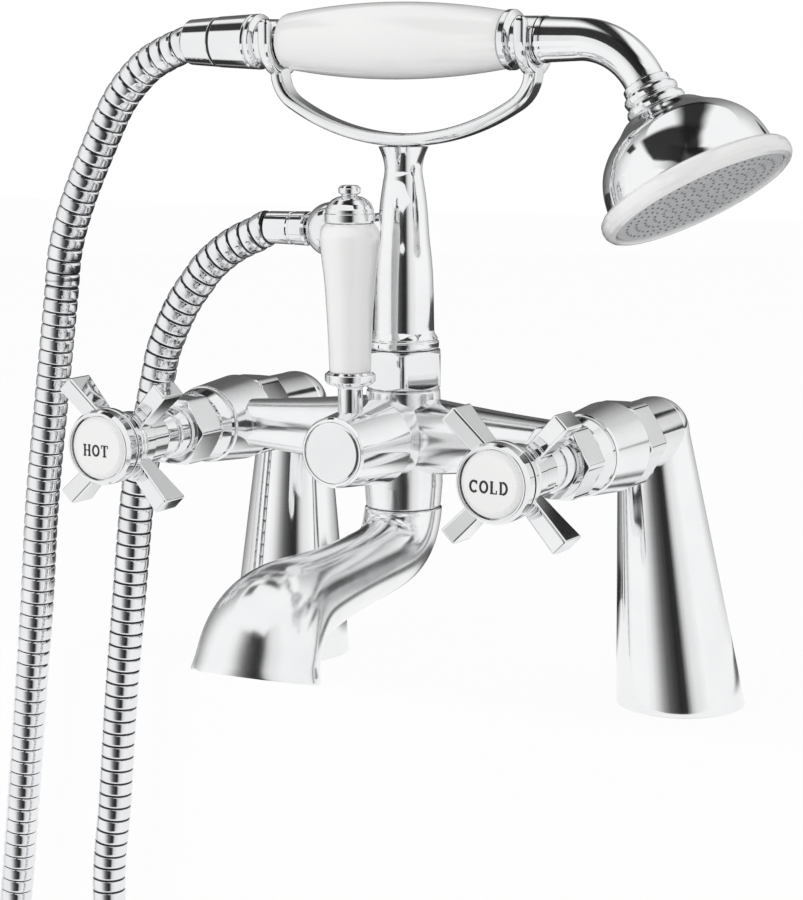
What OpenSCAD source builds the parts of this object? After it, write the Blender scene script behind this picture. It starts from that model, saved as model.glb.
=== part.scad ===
// Bath shower mixer with pillar legs, cross handles, lever diverter, cradle, hose and handset.
// Millimetres. Origin on the deck midway between the legs, +Z up, front towards -Y, cold side +X.

/* [Layout] */
// distance between the leg centres at the deck
leg_centres = 180; // [170:1:200]
// distance between the two valve axes
valve_centres = 162; // [156:1:172]
// height of the valve axes above the deck
valve_z = 108; // [104:1:125]
// how far the body's axis stands in front of the legs
body_fwd = 62; // [58:1:75]
// how far the leg tops lean forward of their feet
lean_fwd = 10; // [4:1:16]

/* [Legs and deck fixing] */
// foot diameter of a leg
foot_d = 50; // [44:1:56]
// diameter of a leg at its elbow
leg_top_d = 28; // [27:0.5:31]
// waterway through leg and tail
leg_bore_d = 16; // [12:0.5:18]
// outside of the threaded tail
tail_d = 26.4; // [24:0.2:28]
// tail length below the deck
tail_len = 60; // [50:1:75]
// deck thickness clamped by the backnuts
deck_t = 20; // [12:1:28]
// across flats of the backnuts
backnut_af = 36; // [33:0.5:42]
// across flats of the union nuts
union_af = 30; // [29:0.5:34]

/* [Body] */
// valve housing diameter at its back
housing_back_d = 34; // [32:0.5:36]
// valve housing diameter at its front
housing_front_d = 30; // [29:0.5:33]
// cross arm diameter at the middle of the body
arm_mid_d = 32; // [28:0.5:34]
// cross arm diameter at the housings
arm_end_d = 18; // [16:0.5:22]
// diameter of the body's neck at the spout joint
neck_d = 28.5; // [26:0.5:30]
// across flats of the bonnets
bonnet_af = 25; // [23:0.5:28]

/* [Handles] */
// tip to tip span of a cross handle
handle_span = 61; // [54:1:70]
// diameter of the handle hub
hub_d = 20; // [18:0.5:23]
// width of a handle arm
arm_w = 7; // [6:0.5:9]
// depth of a handle arm at its root
arm_root_t = 8; // [7:0.5:10]
// depth of a handle arm at its tip
arm_tip_t = 13; // [9:0.5:14]
// index rim diameter
rim_d = 28; // [27:0.5:31]
// white index disc diameter
index_d = 23.6; // [21:0.2:24]

/* [Diverter] */
// drum diameter at its front
drum_front_d = 26; // [25:0.5:29]
// drum diameter at its back
drum_back_d = 32; // [30:0.5:34]
// drum length
drum_len = 33; // [30:0.5:37]
// length of the white lever grip
lever_len = 54; // [46:1:58]
// largest diameter of the lever grip
lever_d = 22; // [20:0.5:23]

/* [Spout] */
// tube diameter of the spout
spout_d = 27; // [26:0.5:29]
// outlet diameter of the spout
outlet_d = 46; // [40:0.5:50]
// reach of the outlet in front of the body's axis
spout_reach = 105.5; // [97:0.5:115]
// wall thickness of the spout
spout_wall = 2.5; // [2:0.1:2.6]

/* [Pillar and cradle] */
// across flats of the pillar nut
pillar_af = 28; // [25.5:0.5:30]
// height of the cradle post above its nut
post_h = 76; // [70:1:84]
// widest diameter of the cradle post
post_d = 23; // [21:0.5:25]
// narrowest diameter of the cradle post
waist_d = 14; // [12:0.5:16]
// distance between the fork centres
fork_centres = 108; // [104:1:112]
// thickness of the bow and fork bars
bow_t = 4.6; // [4:0.1:5.4]
// width of the bow bar
bow_w = 9; // [7:0.5:11]
// ball diameter of the hose outlet
ball_d = 21; // [19:0.5:23]
// distance of the outlet ball from the post's axis
ball_x = 31; // [28:0.5:35]

/* [Handset] */
// diameter of the handset necks that rest in the forks
seat_d = 17; // [16:0.2:18]
// largest diameter of the white grip
grip_d = 28.6; // [26:0.2:31]
// end diameter of the white grip
grip_end_d = 20.8; // [20:0.2:22]
// tube diameter of the handset arm
hand_arm_d = 15; // [14:0.2:16]
// bend of the handset arm
hand_bend = 60; // [50:1:70]
// roll of the handset in its forks, rose towards the front
hand_roll = 5; // [0:1:12]
// bell diameter of the rose
bell_d = 63; // [58:1:66]
// outside diameter of the white rose ring
ring_d = 72; // [70:1:78]
// diameter of a spray hole
jet_d = 1.6; // [1.2:0.1:1.8]

/* [Hose] */
// outside diameter of the hose
hose_d = 14; // [13:0.2:14.4]
// waterway of the hose
hose_bore_d = 8; // [6:0.5:9]
// number of ribs along the hose
hose_ribs = 196; // [150:1:198]

/* [Hidden] */

$fn = 64;
chrome = [0.8, 0.82, 0.85];
brass = [0.78, 0.64, 0.32];
white = [0.96, 0.96, 0.95];
ceramic = [0.9, 0.88, 0.82];
rubber = [0.15, 0.15, 0.16];
steel = [0.6, 0.61, 0.63];
grey = [0.6, 0.62, 0.63];

// clearance between pieces that don't move on each other
gap = 0.1;
// radial running clearance of a spindle
run = 0.05;
// clearance between pieces of different bodies
free = 0.4;

// main axes
leg_x = leg_centres / 2;
valve_x = valve_centres / 2;
body_y = -body_fwd;
elbow_y = -lean_fwd;

// deck fixing
washer_t = 1.5;
socket_depth = 14;
backnut_h = 9;
tail_free = -deck_t - 2 - backnut_h - gap;

// union between leg and housing, counted along Y
housing_back = body_y + 10;
housing_front = body_y - 15;
stub_end = housing_back + 8;
flange_y = stub_end + 1.5;
flange_end = flange_y + 3;
leg_face = flange_end + 4;
stub_r = union_af / 2 - 2;
flange_r = stub_r - 0.4;
leg_neck_r = flange_r - 2.2;
inlet_r = 8.5;

// valve cartridge, counted along Y
disc_t = 3;
disc_r = 9.4;
seat_y = body_y + 4;
fixed_front = seat_y - disc_t;
moving_back = fixed_front - gap;
moving_front = moving_back - disc_t;
foot_front = moving_front - 3;
cavity_r = 13;
thread_r = 12;
skirt_r = 10.8;
skirt_bore_r = 9.8;
collar_front = housing_front - 8;
hex_front = collar_front - 15;
gland_front = hex_front - 13;
spindle_r = 5;
hub_back = gland_front - 1.5;
hub_front = hub_back - 12;
arm_y = hub_front - 5.5;
neck_front = hub_front - 11;
rim_front = neck_front - 10;
rim_wall = 2;
spindle_end = hub_front + 1;
screw_r = 2.5;

// diverter, counted along Y
boss_front = body_y - 20;
drum_back = boss_front - free;
drum_front = drum_back - drum_len;
lever_y = drum_front + 13.5;
div_bore_r = 10;
div_seat_y = body_y - 3;
stem_r = 4.6;
stem_foot = valve_z + 7;
stem_top = valve_z + drum_back_d / 2 + 8;
lever_foot = stem_top + 4.5;
lever_top = lever_foot + lever_len;
lever_rod_r = 3;

// spout
neck_z = valve_z - 27;
spout_top = neck_z - 1;
spout_r = spout_d / 2;
spout_lip = 1.3;
bend_r = spout_r + 3.3;
bend_z = spout_top - 0.3;
run_fall = 4.6;
run_r = spout_r - 0.3;
turn_rho = 7.1;
turn_max = 75;
drop_len = 5.9;
mouth_r = outlet_d / 2;
turn_r0 = spout_r + 3;
turn_r1 = mouth_r - 1.2;
mouth_back = (turn_rho + turn_r1) * sin(turn_max) + drop_len * cos(turn_max);
turn_y = body_y - spout_reach + mouth_back;
run_y = body_y - bend_r * (1 - sin(run_fall));
run_z = bend_z - bend_r * cos(run_fall);
run_len = (run_y - turn_y) / cos(run_fall) + (turn_rho + turn_r0) * tan(run_fall);
turn_z = run_z - run_len * sin(run_fall) - (turn_rho + turn_r0) * cos(run_fall);
mouth = [0, body_y - spout_reach, turn_z + (turn_rho + turn_r1) * cos(turn_max) - drop_len * sin(turn_max)];

// pillar
body_top = valve_z + 18;
nut_h = 15;
pillar_stub_r = 10;
ring_z = body_top + nut_h;
post_foot = body_top + 9.5;
post_base = ring_z + 6;
post_top = ring_z + post_h;
outlet_z = ring_z + 44;

// cradle
fork_x = fork_centres / 2;
bow_low = post_top + gap;
bow_r = 90;
bow_in_r = 14;
bow_a = asin((fork_x - bow_in_r) / (bow_r - bow_in_r));
bow_mid = bow_low + bow_t / 2;
bow_cz = bow_mid + bow_r;
knee_x = (bow_r - bow_in_r) * sin(bow_a);
knee_z = bow_cz - (bow_r - bow_in_r) * cos(bow_a);
seat_r = seat_d / 2;
fork_r = seat_r + free;
fork_out_r = fork_r + 4.4;
hand_z = knee_z + fork_r + 2.3;
prong_top = hand_z + 6;
fork_t = 5;

// handset along X at hand_z
grip_x0 = -fork_x + fork_t / 2 + 0.6;
grip_x1 = fork_x - 10.5;
grip_mid = (grip_x0 + grip_x1) / 2;
rear_face = -fork_x - 11;
cone_mid = rear_face - 16.5;
cone_end = rear_face - 30;
core_r = 7.2;
core_bore_r = 4.5;
arm_x0 = fork_x + fork_t / 2 + 0.6;
arm_x1 = arm_x0 + 15;
arm_bend_r = 30;
rose_x = arm_x1 + arm_bend_r * sin(hand_bend);
rose_z = hand_z - arm_bend_r * (1 - cos(hand_bend));
nut_t = 12;
bell_t = 41.5;
face_t = 47.5;
plate_r = ring_d / 2 - 4;

// hose ends: a thin tail inside each nut, then the ribs
hose_r = hose_d / 2;
tail_r = 4.8;
tail_in = 6.7;
ball_end = -ball_x - ball_d / 2;
ball_stub = 9.4;
outlet_washer_t = 1.6;
outlet_nut_end = ball_end - ball_stub - outlet_washer_t - tail_in - 0.3;
hose_x0 = outlet_nut_end + tail_in;
hose_x1 = cone_end + tail_in;

// hose route in the X-Z plane through the body's axis: first from the outlet, then up to the handset
near_route = [
    [0, 0], [-4, 0], [-8, -0.5], [-12, -2.6], [-18, -5], [-24, -8], [-30, -12], [-36, -17], [-41, -23],
    [-46, -29], [-51, -37], [-55, -45], [-58, -52], [-60, -60], [-67, -89], [-72, -114], [-77, -156],
    [-82, -199], [-86, -243], [-90, -283], [-86, -334], [-74, -389], [-58, -444], [-45, -499],
    [-42, -554], [-56, -606], [-88, -641],
];
far_route = [
    [-94, -710], [-124, -680], [-138, -630], [-136, -575], [-128, -520], [-119, -463], [-111, -411],
    [-104, -362], [-99, -321], [-94, -276], [-89, -232], [-85, -189], [-79, -146], [-73, -104],
    [-70, -83], [-63, -63], [-51, -39], [-41, -22], [-29, -10], [-19, -4.5], [-11, -1.5], [-7, -0.3],
    [-3, 0], [0, 0],
];
route = concat(
    [for (p = near_route) [hose_x0 + p[0], outlet_z + p[1]]],
    [for (p = far_route) [hose_x1 + p[0], hand_z + p[1]]]
);
route_fine = 10;
function last(v) = v[len(v) - 1];
function knot(i) = route[max(0, min(len(route) - 1, i))];
function spline(i, t) =
    0.5 * (2 * knot(i) + t * (knot(i + 1) - knot(i - 1))
    + t * t * (2 * knot(i - 1) - 5 * knot(i) + 4 * knot(i + 1) - knot(i + 2))
    + t * t * t * (3 * knot(i) - knot(i - 1) - 3 * knot(i + 1) + knot(i + 2)));
path = concat(
    [for (i = [0 : len(route) - 2]) for (j = [0 : route_fine - 1]) spline(i, j / route_fine)],
    [last(route)]
);
steps = [for (i = [1 : len(path) - 1]) norm(path[i] - path[i - 1])];
walk = [for (i = 0, s = 0; i < len(path); s = s + (i < len(steps) ? steps[i] : 0), i = i + 1) s];
hose_len = last(walk);
path_x = [for (i = [0 : len(path) - 1]) [walk[i], path[i][0]]];
path_z = [for (i = [0 : len(path) - 1]) [walk[i], path[i][1]]];
function hose_at(s) = [lookup(s, path_x), body_y, lookup(s, path_z)];
function hose_dir(s) =
    let (d = hose_at(min(hose_len, s + 1.5)) - hose_at(max(0, s - 1.5)))
    s < 4 ? [-1, 0, 0] : s > hose_len - 4 ? [1, 0, 0] : d / norm(d);
function hose_ring(s, r) =
    let (c = hose_at(s), d = hose_dir(s), n = [-d[2], 0, d[0]])
    [for (k = [0 : 7]) c + r * (cos(45 * k) * n + sin(45 * k) * [0, 1, 0])];
rib_start = tail_in + 0.3;
hose_pitch = (hose_len - 2 * rib_start) / hose_ribs;
crest_r = hose_r;
valley_r = hose_r - 0.7;
hose_stations = concat(
    [[0, tail_r], [rib_start - 0.1, tail_r], [rib_start, valley_r]],
    [for (i = [0 : hose_ribs - 1]) for (k = [0, 1])
        [rib_start + (i + 0.3 + 0.4 * k) * hose_pitch, k == 0 ? crest_r : valley_r]],
    [[hose_len - rib_start, valley_r], [hose_len - rib_start + 0.1, tail_r], [hose_len, tail_r]]
);
bore_count = 90;
hose_outer = [for (q = hose_stations) each hose_ring(q[0], q[1])];
hose_inner = [for (i = [0 : bore_count]) each hose_ring(hose_len * i / bore_count, hose_bore_d / 2)];
strand_gap = min([
    for (i = [0 : 6 : len(path) - 1]) for (j = [i + 30 : 6 : len(path) - 1])
        if (walk[j] - walk[i] > 6 * hose_d) norm(path[i] - path[j]) - hose_d
]);
echo(hose_length = hose_len, rib_pitch = hose_pitch, least_gap_to_itself = strand_gap);

// swept tube of triangles: outer rings, inner rings and two flat ends
function skin(n, m, base, flip) = [
    for (i = [0 : n - 2]) for (k = [0 : m - 1])
        let (a = base + i * m + k, b = base + i * m + (k + 1) % m, c = a + m, d = b + m)
        each flip ? [[a, b, c], [b, d, c]] : [[a, c, b], [b, c, d]]
];
function rim(m, a0, b0, flip) = [
    for (k = [0 : m - 1])
        let (a = a0 + k, b = a0 + (k + 1) % m, c = b0 + k, d = b0 + (k + 1) % m)
        each flip ? [[a, c, b], [b, c, d]] : [[a, b, c], [b, d, c]]
];
module tube_of_rings(outer, n_out, inner, n_in, m) {
    base = n_out * m;
    polyhedron(
        points = concat(outer, inner),
        faces = concat(
            skin(n_out, m, 0, false),
            skin(n_in, m, base, true),
            rim(m, 0, base, false),
            rim(m, (n_out - 1) * m, base + (n_in - 1) * m, true)
        )
    );
}

// spout rings: centre in Y and Z, angle of travel below the horizontal, radius, bore radius
spout_rows = concat(
    [[body_y, spout_top, 90, spout_r + spout_lip, spout_r - spout_wall]],
    [for (k = [0 : 6])
        let (a = 90 - (90 - run_fall) * k / 6)
        let (r = spout_r + spout_lip + (run_r - spout_r - spout_lip) * k * k / 36)
        [body_y - bend_r * (1 - sin(a)), bend_z - bend_r * cos(a), a, r,
            spout_r - spout_wall + (run_r - spout_r) * k / 6]],
    [for (k = [1 : 5])
        let (d = run_len * k / 6, r = run_r + (turn_r0 - run_r) * pow(k / 6, 3.2))
        [run_y - d * cos(run_fall), run_z - d * sin(run_fall), run_fall, r, r - spout_wall]],
    [for (k = [0 : 10])
        let (a = run_fall + (turn_max - run_fall) * k / 10)
        let (r = turn_r0 + (turn_r1 - turn_r0) * pow(sin(9 * k), 1.5))
        [turn_y - (turn_rho + r) * sin(a), turn_z + (turn_rho + r) * cos(a), a, r, r - spout_wall]],
    [[mouth[1], mouth[2], turn_max, mouth_r, mouth_r - spout_wall]]
);
spout_sides = 32;
function spout_ring(q, r) = [
    for (k = [0 : spout_sides - 1])
        let (b = 360 * k / spout_sides)
        [r * cos(b), q[0] - r * sin(b) * sin(q[2]), q[1] + r * sin(b) * cos(q[2])]
];

module bar_x(x0, x1, y, z, ra, rb) {
    translate([x0, y, z]) rotate([0, 90, 0]) cylinder(h = x1 - x0, r1 = ra, r2 = rb);
}
module bar_y(x, z, y0, y1, ra, rb) {
    translate([x, y0, z]) rotate([-90, 0, 0]) cylinder(h = y1 - y0, r1 = ra, r2 = rb);
}
module bar_z(x, y, z0, z1, ra, rb) {
    translate([x, y, z0]) cylinder(h = z1 - z0, r1 = ra, r2 = rb);
}
module hex_y(x, z, y0, y1, af) {
    translate([x, y0, z]) rotate([-90, 0, 0]) cylinder(h = y1 - y0, r = af / sqrt(3), $fn = 6);
}
module torus_y(x, y, z, big, small) {
    translate([x, y, z]) rotate([90, 0, 0]) rotate_extrude() translate([big, 0]) circle(r = small);
}
module both_sides() {
    children();
    mirror([1, 0, 0]) children();
}
// revolve of [radius, height] rows about Z
module lathe(rows) {
    rotate_extrude() polygon(concat([[0, rows[0][1]]], rows, [[0, last(rows)[1]]]));
}

// deck fixing
module deck_washers() {
    color(rubber) both_sides() difference() {
        bar_z(leg_x, 0, 0, washer_t, foot_d / 2 - 1, foot_d / 2 - 1);
        bar_z(leg_x, 0, -1, washer_t + 1, tail_d / 2 + 0.4, tail_d / 2 + 0.4);
    }
}
module tails() {
    color(brass) both_sides() difference() {
        union() {
            bar_z(leg_x, 0, -tail_len, tail_free, tail_d / 2, tail_d / 2);
            bar_z(leg_x, 0, tail_free, washer_t + socket_depth - gap, tail_d / 2 - 0.2, tail_d / 2 - 0.2);
        }
        bar_z(leg_x, 0, -tail_len - 1, washer_t + socket_depth + 1, leg_bore_d / 2, leg_bore_d / 2);
    }
}
module backnut_washers() {
    color(rubber) both_sides() difference() {
        bar_z(leg_x, 0, -deck_t - 2, -deck_t, 21, 21);
        bar_z(leg_x, 0, -deck_t - 3, 1 - deck_t, tail_d / 2 + 0.3, tail_d / 2 + 0.3);
    }
}
module backnuts() {
    color(brass) both_sides() difference() {
        translate([leg_x, 0, -deck_t - 2 - backnut_h])
            cylinder(h = backnut_h, r = backnut_af / sqrt(3), $fn = 6);
        bar_z(leg_x, 0, -deck_t - 3 - backnut_h, 1 - deck_t, tail_d / 2 + gap, tail_d / 2 + gap);
    }
}

// legs: a leaning cone, a ball elbow and a level spigot for the union
lean = [valve_x - leg_x, elbow_y, valve_z];
lean_len = norm(lean);
module along_leg() {
    translate([leg_x, 0, 0])
        rotate([0, acos(lean[2] / lean_len), atan2(lean[1], lean[0])])
            children();
}
module leg() {
    top_r = leg_top_d / 2;
    grow = (foot_d / 2 - top_r) / lean_len;
    difference() {
        union() {
            difference() {
                along_leg()
                    translate([0, 0, -6])
                        cylinder(h = lean_len + 6, r1 = foot_d / 2 + 6 * grow, r2 = top_r);
                translate([leg_x - 60, -60, washer_t - 40]) cube([120, 120, 40]);
            }
            translate([valve_x, elbow_y, valve_z]) sphere(r = top_r + 0.2);
            bar_y(valve_x, valve_z, leg_face, elbow_y, top_r - 0.3, top_r - 0.3);
            bar_y(valve_x, valve_z, flange_y, leg_face, leg_neck_r, leg_neck_r);
            bar_y(valve_x, valve_z, flange_y, flange_end, flange_r, flange_r);
        }
        bar_z(leg_x, 0, washer_t - 1, washer_t + socket_depth, tail_d / 2 + gap, tail_d / 2 + gap);
        along_leg() translate([0, 0, 10]) cylinder(h = lean_len - 10, r = leg_bore_d / 2);
        translate([valve_x, elbow_y, valve_z]) sphere(r = leg_bore_d / 2 + 0.3);
        bar_y(valve_x, valve_z, flange_y - 1, elbow_y, leg_bore_d / 2 - 0.2, leg_bore_d / 2 - 0.2);
    }
}
module leg_cold() {
    color(chrome) leg();
}
module leg_hot() {
    color(chrome) mirror([1, 0, 0]) leg();
}
module union_washers() {
    color(rubber) both_sides() difference() {
        bar_y(valve_x, valve_z, stub_end, flange_y, flange_r - 0.2, flange_r - 0.2);
        bar_y(valve_x, valve_z, stub_end - 1, flange_y + 1, inlet_r + 0.5, inlet_r + 0.5);
    }
}
module union_nuts() {
    color(chrome) both_sides() difference() {
        hex_y(valve_x, valve_z, housing_back + 0.3, leg_face - 0.3, union_af);
        bar_y(valve_x, valve_z, housing_back - 1, flange_end + gap, stub_r + gap, stub_r + gap);
        bar_y(valve_x, valve_z, flange_end, leg_face + 1, leg_neck_r + 0.3, leg_neck_r + 0.3);
    }
}

// body casting
module housing_outside() {
    bar_y(valve_x, valve_z, housing_front, housing_back, housing_front_d / 2, housing_back_d / 2);
    bar_y(valve_x, valve_z, housing_back - 1, stub_end, stub_r, stub_r);
}
module housing_inside() {
    bar_y(valve_x, valve_z, housing_front - 1, housing_front + 8, thread_r, thread_r);
    bar_y(valve_x, valve_z, housing_front + 7, seat_y, cavity_r, cavity_r);
    bar_y(valve_x, valve_z, seat_y - 1, stub_end + 1, inlet_r, inlet_r);
}
module mixer_body() {
    color(chrome) difference() {
        union() {
            both_sides() {
                housing_outside();
                bar_x(0, valve_x - 8, body_y, valve_z, arm_mid_d / 2, arm_end_d / 2);
            }
            bar_z(0, body_y, neck_z + 8, body_top, 15, 14);
            bar_z(0, body_y, neck_z, neck_z + 9, neck_d / 2, 15);
            bar_y(0, valve_z, boss_front, body_y, 14.6, 15.4);
            bar_z(0, body_y, body_top - 1, post_foot - gap, pillar_stub_r, pillar_stub_r);
        }
        both_sides() {
            housing_inside();
            bar_x(-1, valve_x - 6, body_y, valve_z, 5.5, 5.5);
        }
        bar_z(0, body_y, neck_z - 1, neck_z + 9, 10.9, 10.9);
        bar_z(0, body_y, neck_z + 8, post_foot + 1, 6.5, 6.5);
        bar_y(0, valve_z, boss_front - 1, div_seat_y, div_bore_r, div_bore_r);
    }
}

// valve cartridges
module bonnets() {
    color(chrome) both_sides() difference() {
        union() {
            bar_y(valve_x, valve_z, housing_front, housing_front + 8 - gap, thread_r - gap, thread_r - gap);
            bar_y(valve_x, valve_z, housing_front + 7, seat_y - gap, skirt_r, skirt_r);
            bar_y(valve_x, valve_z, collar_front, housing_front, 13, housing_front_d / 2 - 0.5);
            hex_y(valve_x, valve_z, hex_front, collar_front, bonnet_af);
        }
        bar_y(valve_x, valve_z, foot_front - 0.4, seat_y + 1, skirt_bore_r, skirt_bore_r);
        bar_y(valve_x, valve_z, hex_front - 1, foot_front, spindle_r + run, spindle_r + run);
        bar_y(valve_x, valve_z, hex_front - 1, hex_front + 6, 7, 7);
        translate([valve_x - 20, moving_front - 5, valve_z - 4]) cube([40, 4.5, 8]);
    }
}
module gland_nuts() {
    color(chrome) both_sides() difference() {
        union() {
            bar_y(valve_x, valve_z, hex_front - 6, hex_front, 9.2, 10.2);
            bar_y(valve_x, valve_z, gland_front, hex_front - 6, 7.6, 8.6);
            bar_y(valve_x, valve_z, hex_front - 1, hex_front + 5, 7 - gap, 7 - gap);
        }
        bar_y(valve_x, valve_z, gland_front - 1, hex_front + 6, spindle_r + run, spindle_r + run);
    }
}
module bonnet_seals() {
    color(rubber) both_sides() torus_y(valve_x, housing_front + 9.4, valve_z, skirt_r + 1.1, 1);
}
module disc_holes(y0, y1) {
    for (a = [0, 180])
        translate([valve_x, 0, valve_z]) rotate([0, a, 0])
            translate([5, 0, 0]) bar_y(0, 0, y0, y1, 2.8, 2.8);
}
module fixed_discs() {
    color(ceramic) both_sides() difference() {
        bar_y(valve_x, valve_z, fixed_front, seat_y, disc_r, disc_r);
        disc_holes(fixed_front - 1, seat_y + 1);
    }
}
module moving_disc() {
    difference() {
        bar_y(valve_x, valve_z, moving_front, moving_back, disc_r, disc_r);
        translate([valve_x, 0, valve_z]) rotate([0, 90, 0]) translate([-valve_x, 0, -valve_z])
            disc_holes(moving_front - 1, moving_back + 1);
    }
}
module moving_disc_cold() {
    color(ceramic) moving_disc();
}
module moving_disc_hot() {
    color(ceramic) mirror([1, 0, 0]) moving_disc();
}
module spindle() {
    difference() {
        union() {
            bar_y(valve_x, valve_z, foot_front, moving_front, disc_r, disc_r);
            bar_y(valve_x, valve_z, spindle_end, moving_front, spindle_r, spindle_r);
        }
        bar_y(valve_x, valve_z, spindle_end - 1, spindle_end + 14, screw_r + run, screw_r + run);
    }
}
module spindle_cold() {
    color(brass) spindle();
}
module spindle_hot() {
    color(brass) mirror([1, 0, 0]) spindle();
}

// cross handles
module star() {
    for (a = [45, 135])
        rotate(a) square([2 * handle_span, arm_w], center = true);
}
module handle() {
    tip_r = handle_span / 2;
    root_t = arm_root_t / 2;
    tip_t = arm_tip_t / 2;
    difference() {
        union() {
            bar_y(valve_x, valve_z, hub_front, hub_back, hub_d / 2, hub_d / 2 - 0.5);
            bar_y(valve_x, valve_z, neck_front, hub_front + 1, hub_d / 2 + 1.4, hub_d / 2 + 1.4);
            for (k = [0 : 2])
                torus_y(valve_x, neck_front + 1.2 + 2 * k, valve_z, hub_d / 2 + 0.9, 0.9);
            translate([valve_x, arm_y, valve_z]) rotate([90, 0, 0]) intersection() {
                translate([0, 0, -arm_tip_t]) linear_extrude(height = 2 * arm_tip_t) star();
                rotate_extrude() polygon([
                    [0, -root_t], [hub_d / 2, -root_t], [tip_r, -tip_t], [tip_r, tip_t], [hub_d / 2, root_t],
                    [0, root_t],
                ]);
            }
        }
        bar_y(valve_x, valve_z, spindle_end, hub_back + 1, spindle_r + 0.01, spindle_r + 0.01);
        bar_y(valve_x, valve_z, neck_front - 1, spindle_end + 1, screw_r + 0.3, screw_r + 0.3);
    }
}
module handle_cold() {
    color(chrome) handle();
}
module handle_hot() {
    color(chrome) mirror([1, 0, 0]) handle();
}
module handle_screw() {
    bar_y(valve_x, valve_z, neck_front - 4, neck_front - gap, 4.2, 4.2);
    bar_y(valve_x, valve_z, neck_front - 1, spindle_end + 12, screw_r, screw_r);
}
module handle_screw_cold() {
    color(steel) handle_screw();
}
module handle_screw_hot() {
    color(steel) mirror([1, 0, 0]) handle_screw();
}
module index_rim() {
    difference() {
        union() {
            bar_y(valve_x, valve_z, rim_front + 1.5, neck_front, rim_d / 2, rim_d / 2);
            bar_y(valve_x, valve_z, rim_front, rim_front + 1.5, rim_d / 2 - 1, rim_d / 2);
        }
        bar_y(valve_x, valve_z, rim_front - 1, neck_front - rim_wall, index_d / 2 + gap, index_d / 2 + gap);
        bar_y(valve_x, valve_z, rim_front, neck_front + 1, 5.2, 5.2);
    }
}
module index_rim_cold() {
    color(chrome) index_rim();
}
module index_rim_hot() {
    color(chrome) mirror([1, 0, 0]) index_rim();
}
module index_disc() {
    bar_y(valve_x, valve_z, rim_front + 1, rim_front + 3.5, index_d / 2, index_d / 2);
    bar_y(valve_x, valve_z, rim_front + 0.4, rim_front + 1, index_d / 2 - 2.5, index_d / 2);
}
module index_cold() {
    color(white) index_disc();
}
module index_hot() {
    color(white) mirror([1, 0, 0]) index_disc();
}

// diverter
module diverter_gland() {
    color(brass) difference() {
        bar_y(0, valve_z, boss_front, boss_front + 10, div_bore_r - gap, div_bore_r - gap);
        bar_y(0, valve_z, boss_front - 1, boss_front + 11, spindle_r + run, spindle_r + run);
        bar_y(0, valve_z, boss_front + 3.6, boss_front + 6.4, 7.6, 7.6);
    }
}
module diverter_seal() {
    color(rubber) torus_y(0, boss_front + 5, valve_z, 6.4, 1.15);
}
module diverter_seat() {
    color(ceramic) difference() {
        bar_y(0, valve_z, div_seat_y - disc_t, div_seat_y, disc_r, disc_r);
        for (a = [90, 270])
            translate([0, 0, valve_z]) rotate([0, a, 0])
                translate([5, 0, 0]) bar_y(0, 0, div_seat_y - 4, div_seat_y + 1, 2.8, 2.8);
    }
}
module diverter_plate() {
    color(ceramic) difference() {
        bar_y(0, valve_z, div_seat_y - 2 * disc_t - gap, div_seat_y - disc_t - gap, disc_r, disc_r);
        translate([5, 0, valve_z]) bar_y(0, 0, div_seat_y - 9, div_seat_y, 2.8, 2.8);
    }
}
module diverter_spindle() {
    color(brass) difference() {
        bar_y(0, valve_z, drum_front + 9, div_seat_y - 2 * disc_t - gap, spindle_r, spindle_r);
        bar_y(0, valve_z, drum_front + 8, drum_front + 24, screw_r + run, screw_r + run);
    }
}
module diverter_drum() {
    color(chrome) difference() {
        union() {
            bar_y(0, valve_z, drum_front + 1, drum_back - 2, drum_front_d / 2, drum_back_d / 2);
            bar_y(0, valve_z, drum_front, drum_front + 1, drum_front_d / 2 - 0.6, drum_front_d / 2);
            bar_y(0, valve_z, drum_back - 2, drum_back, drum_back_d / 2, drum_back_d / 2 - 1);
        }
        bar_y(0, valve_z, drum_front + 9, drum_back + 1, spindle_r + 0.01, spindle_r + 0.01);
        bar_y(0, valve_z, drum_front + 2, drum_front + 10, screw_r + 0.3, screw_r + 0.3);
        bar_y(0, valve_z, drum_front - 1, drum_front + 7, 9, 9);
        bar_y(0, valve_z, drum_front - 1, drum_front + 2, drum_front_d / 2 - 1.6, drum_front_d / 2 - 1.6);
        bar_z(0, lever_y, stem_foot - gap, valve_z + 30, stem_r + 0.02, stem_r + 0.02);
        difference() {
            bar_y(0, valve_z, drum_front + 19, drum_back + 1, drum_back_d / 2 - 3.5, drum_back_d / 2 - 3.5);
            bar_y(0, valve_z, drum_front + 18, drum_back + 2, 8, 8);
        }
    }
}
module drum_screw() {
    color(steel) {
        bar_y(0, valve_z, drum_front + 3, drum_front + 7 - gap, 4.2, 4.2);
        bar_y(0, valve_z, drum_front + 6, drum_front + 22, screw_r, screw_r);
    }
}
module drum_cover() {
    color(chrome)
        bar_y(0, valve_z, drum_front - 0.2, drum_front + 1.9, drum_front_d / 2 - 1.7, drum_front_d / 2 - 1.7);
}
module lever_stem() {
    color(chrome) {
        bar_z(0, lever_y, stem_foot, stem_top, stem_r, stem_r);
        bar_z(0, lever_y, stem_top, stem_top + 1, 8.3, 9.3);
        bar_z(0, lever_y, stem_top + 1, stem_top + 3.5, 9.3, 9.3);
        bar_z(0, lever_y, stem_top + 3.5, lever_foot - gap, 9.3, 8.3);
        bar_z(0, lever_y, lever_foot - 1, lever_top + 6, lever_rod_r, lever_rod_r);
    }
}
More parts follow.
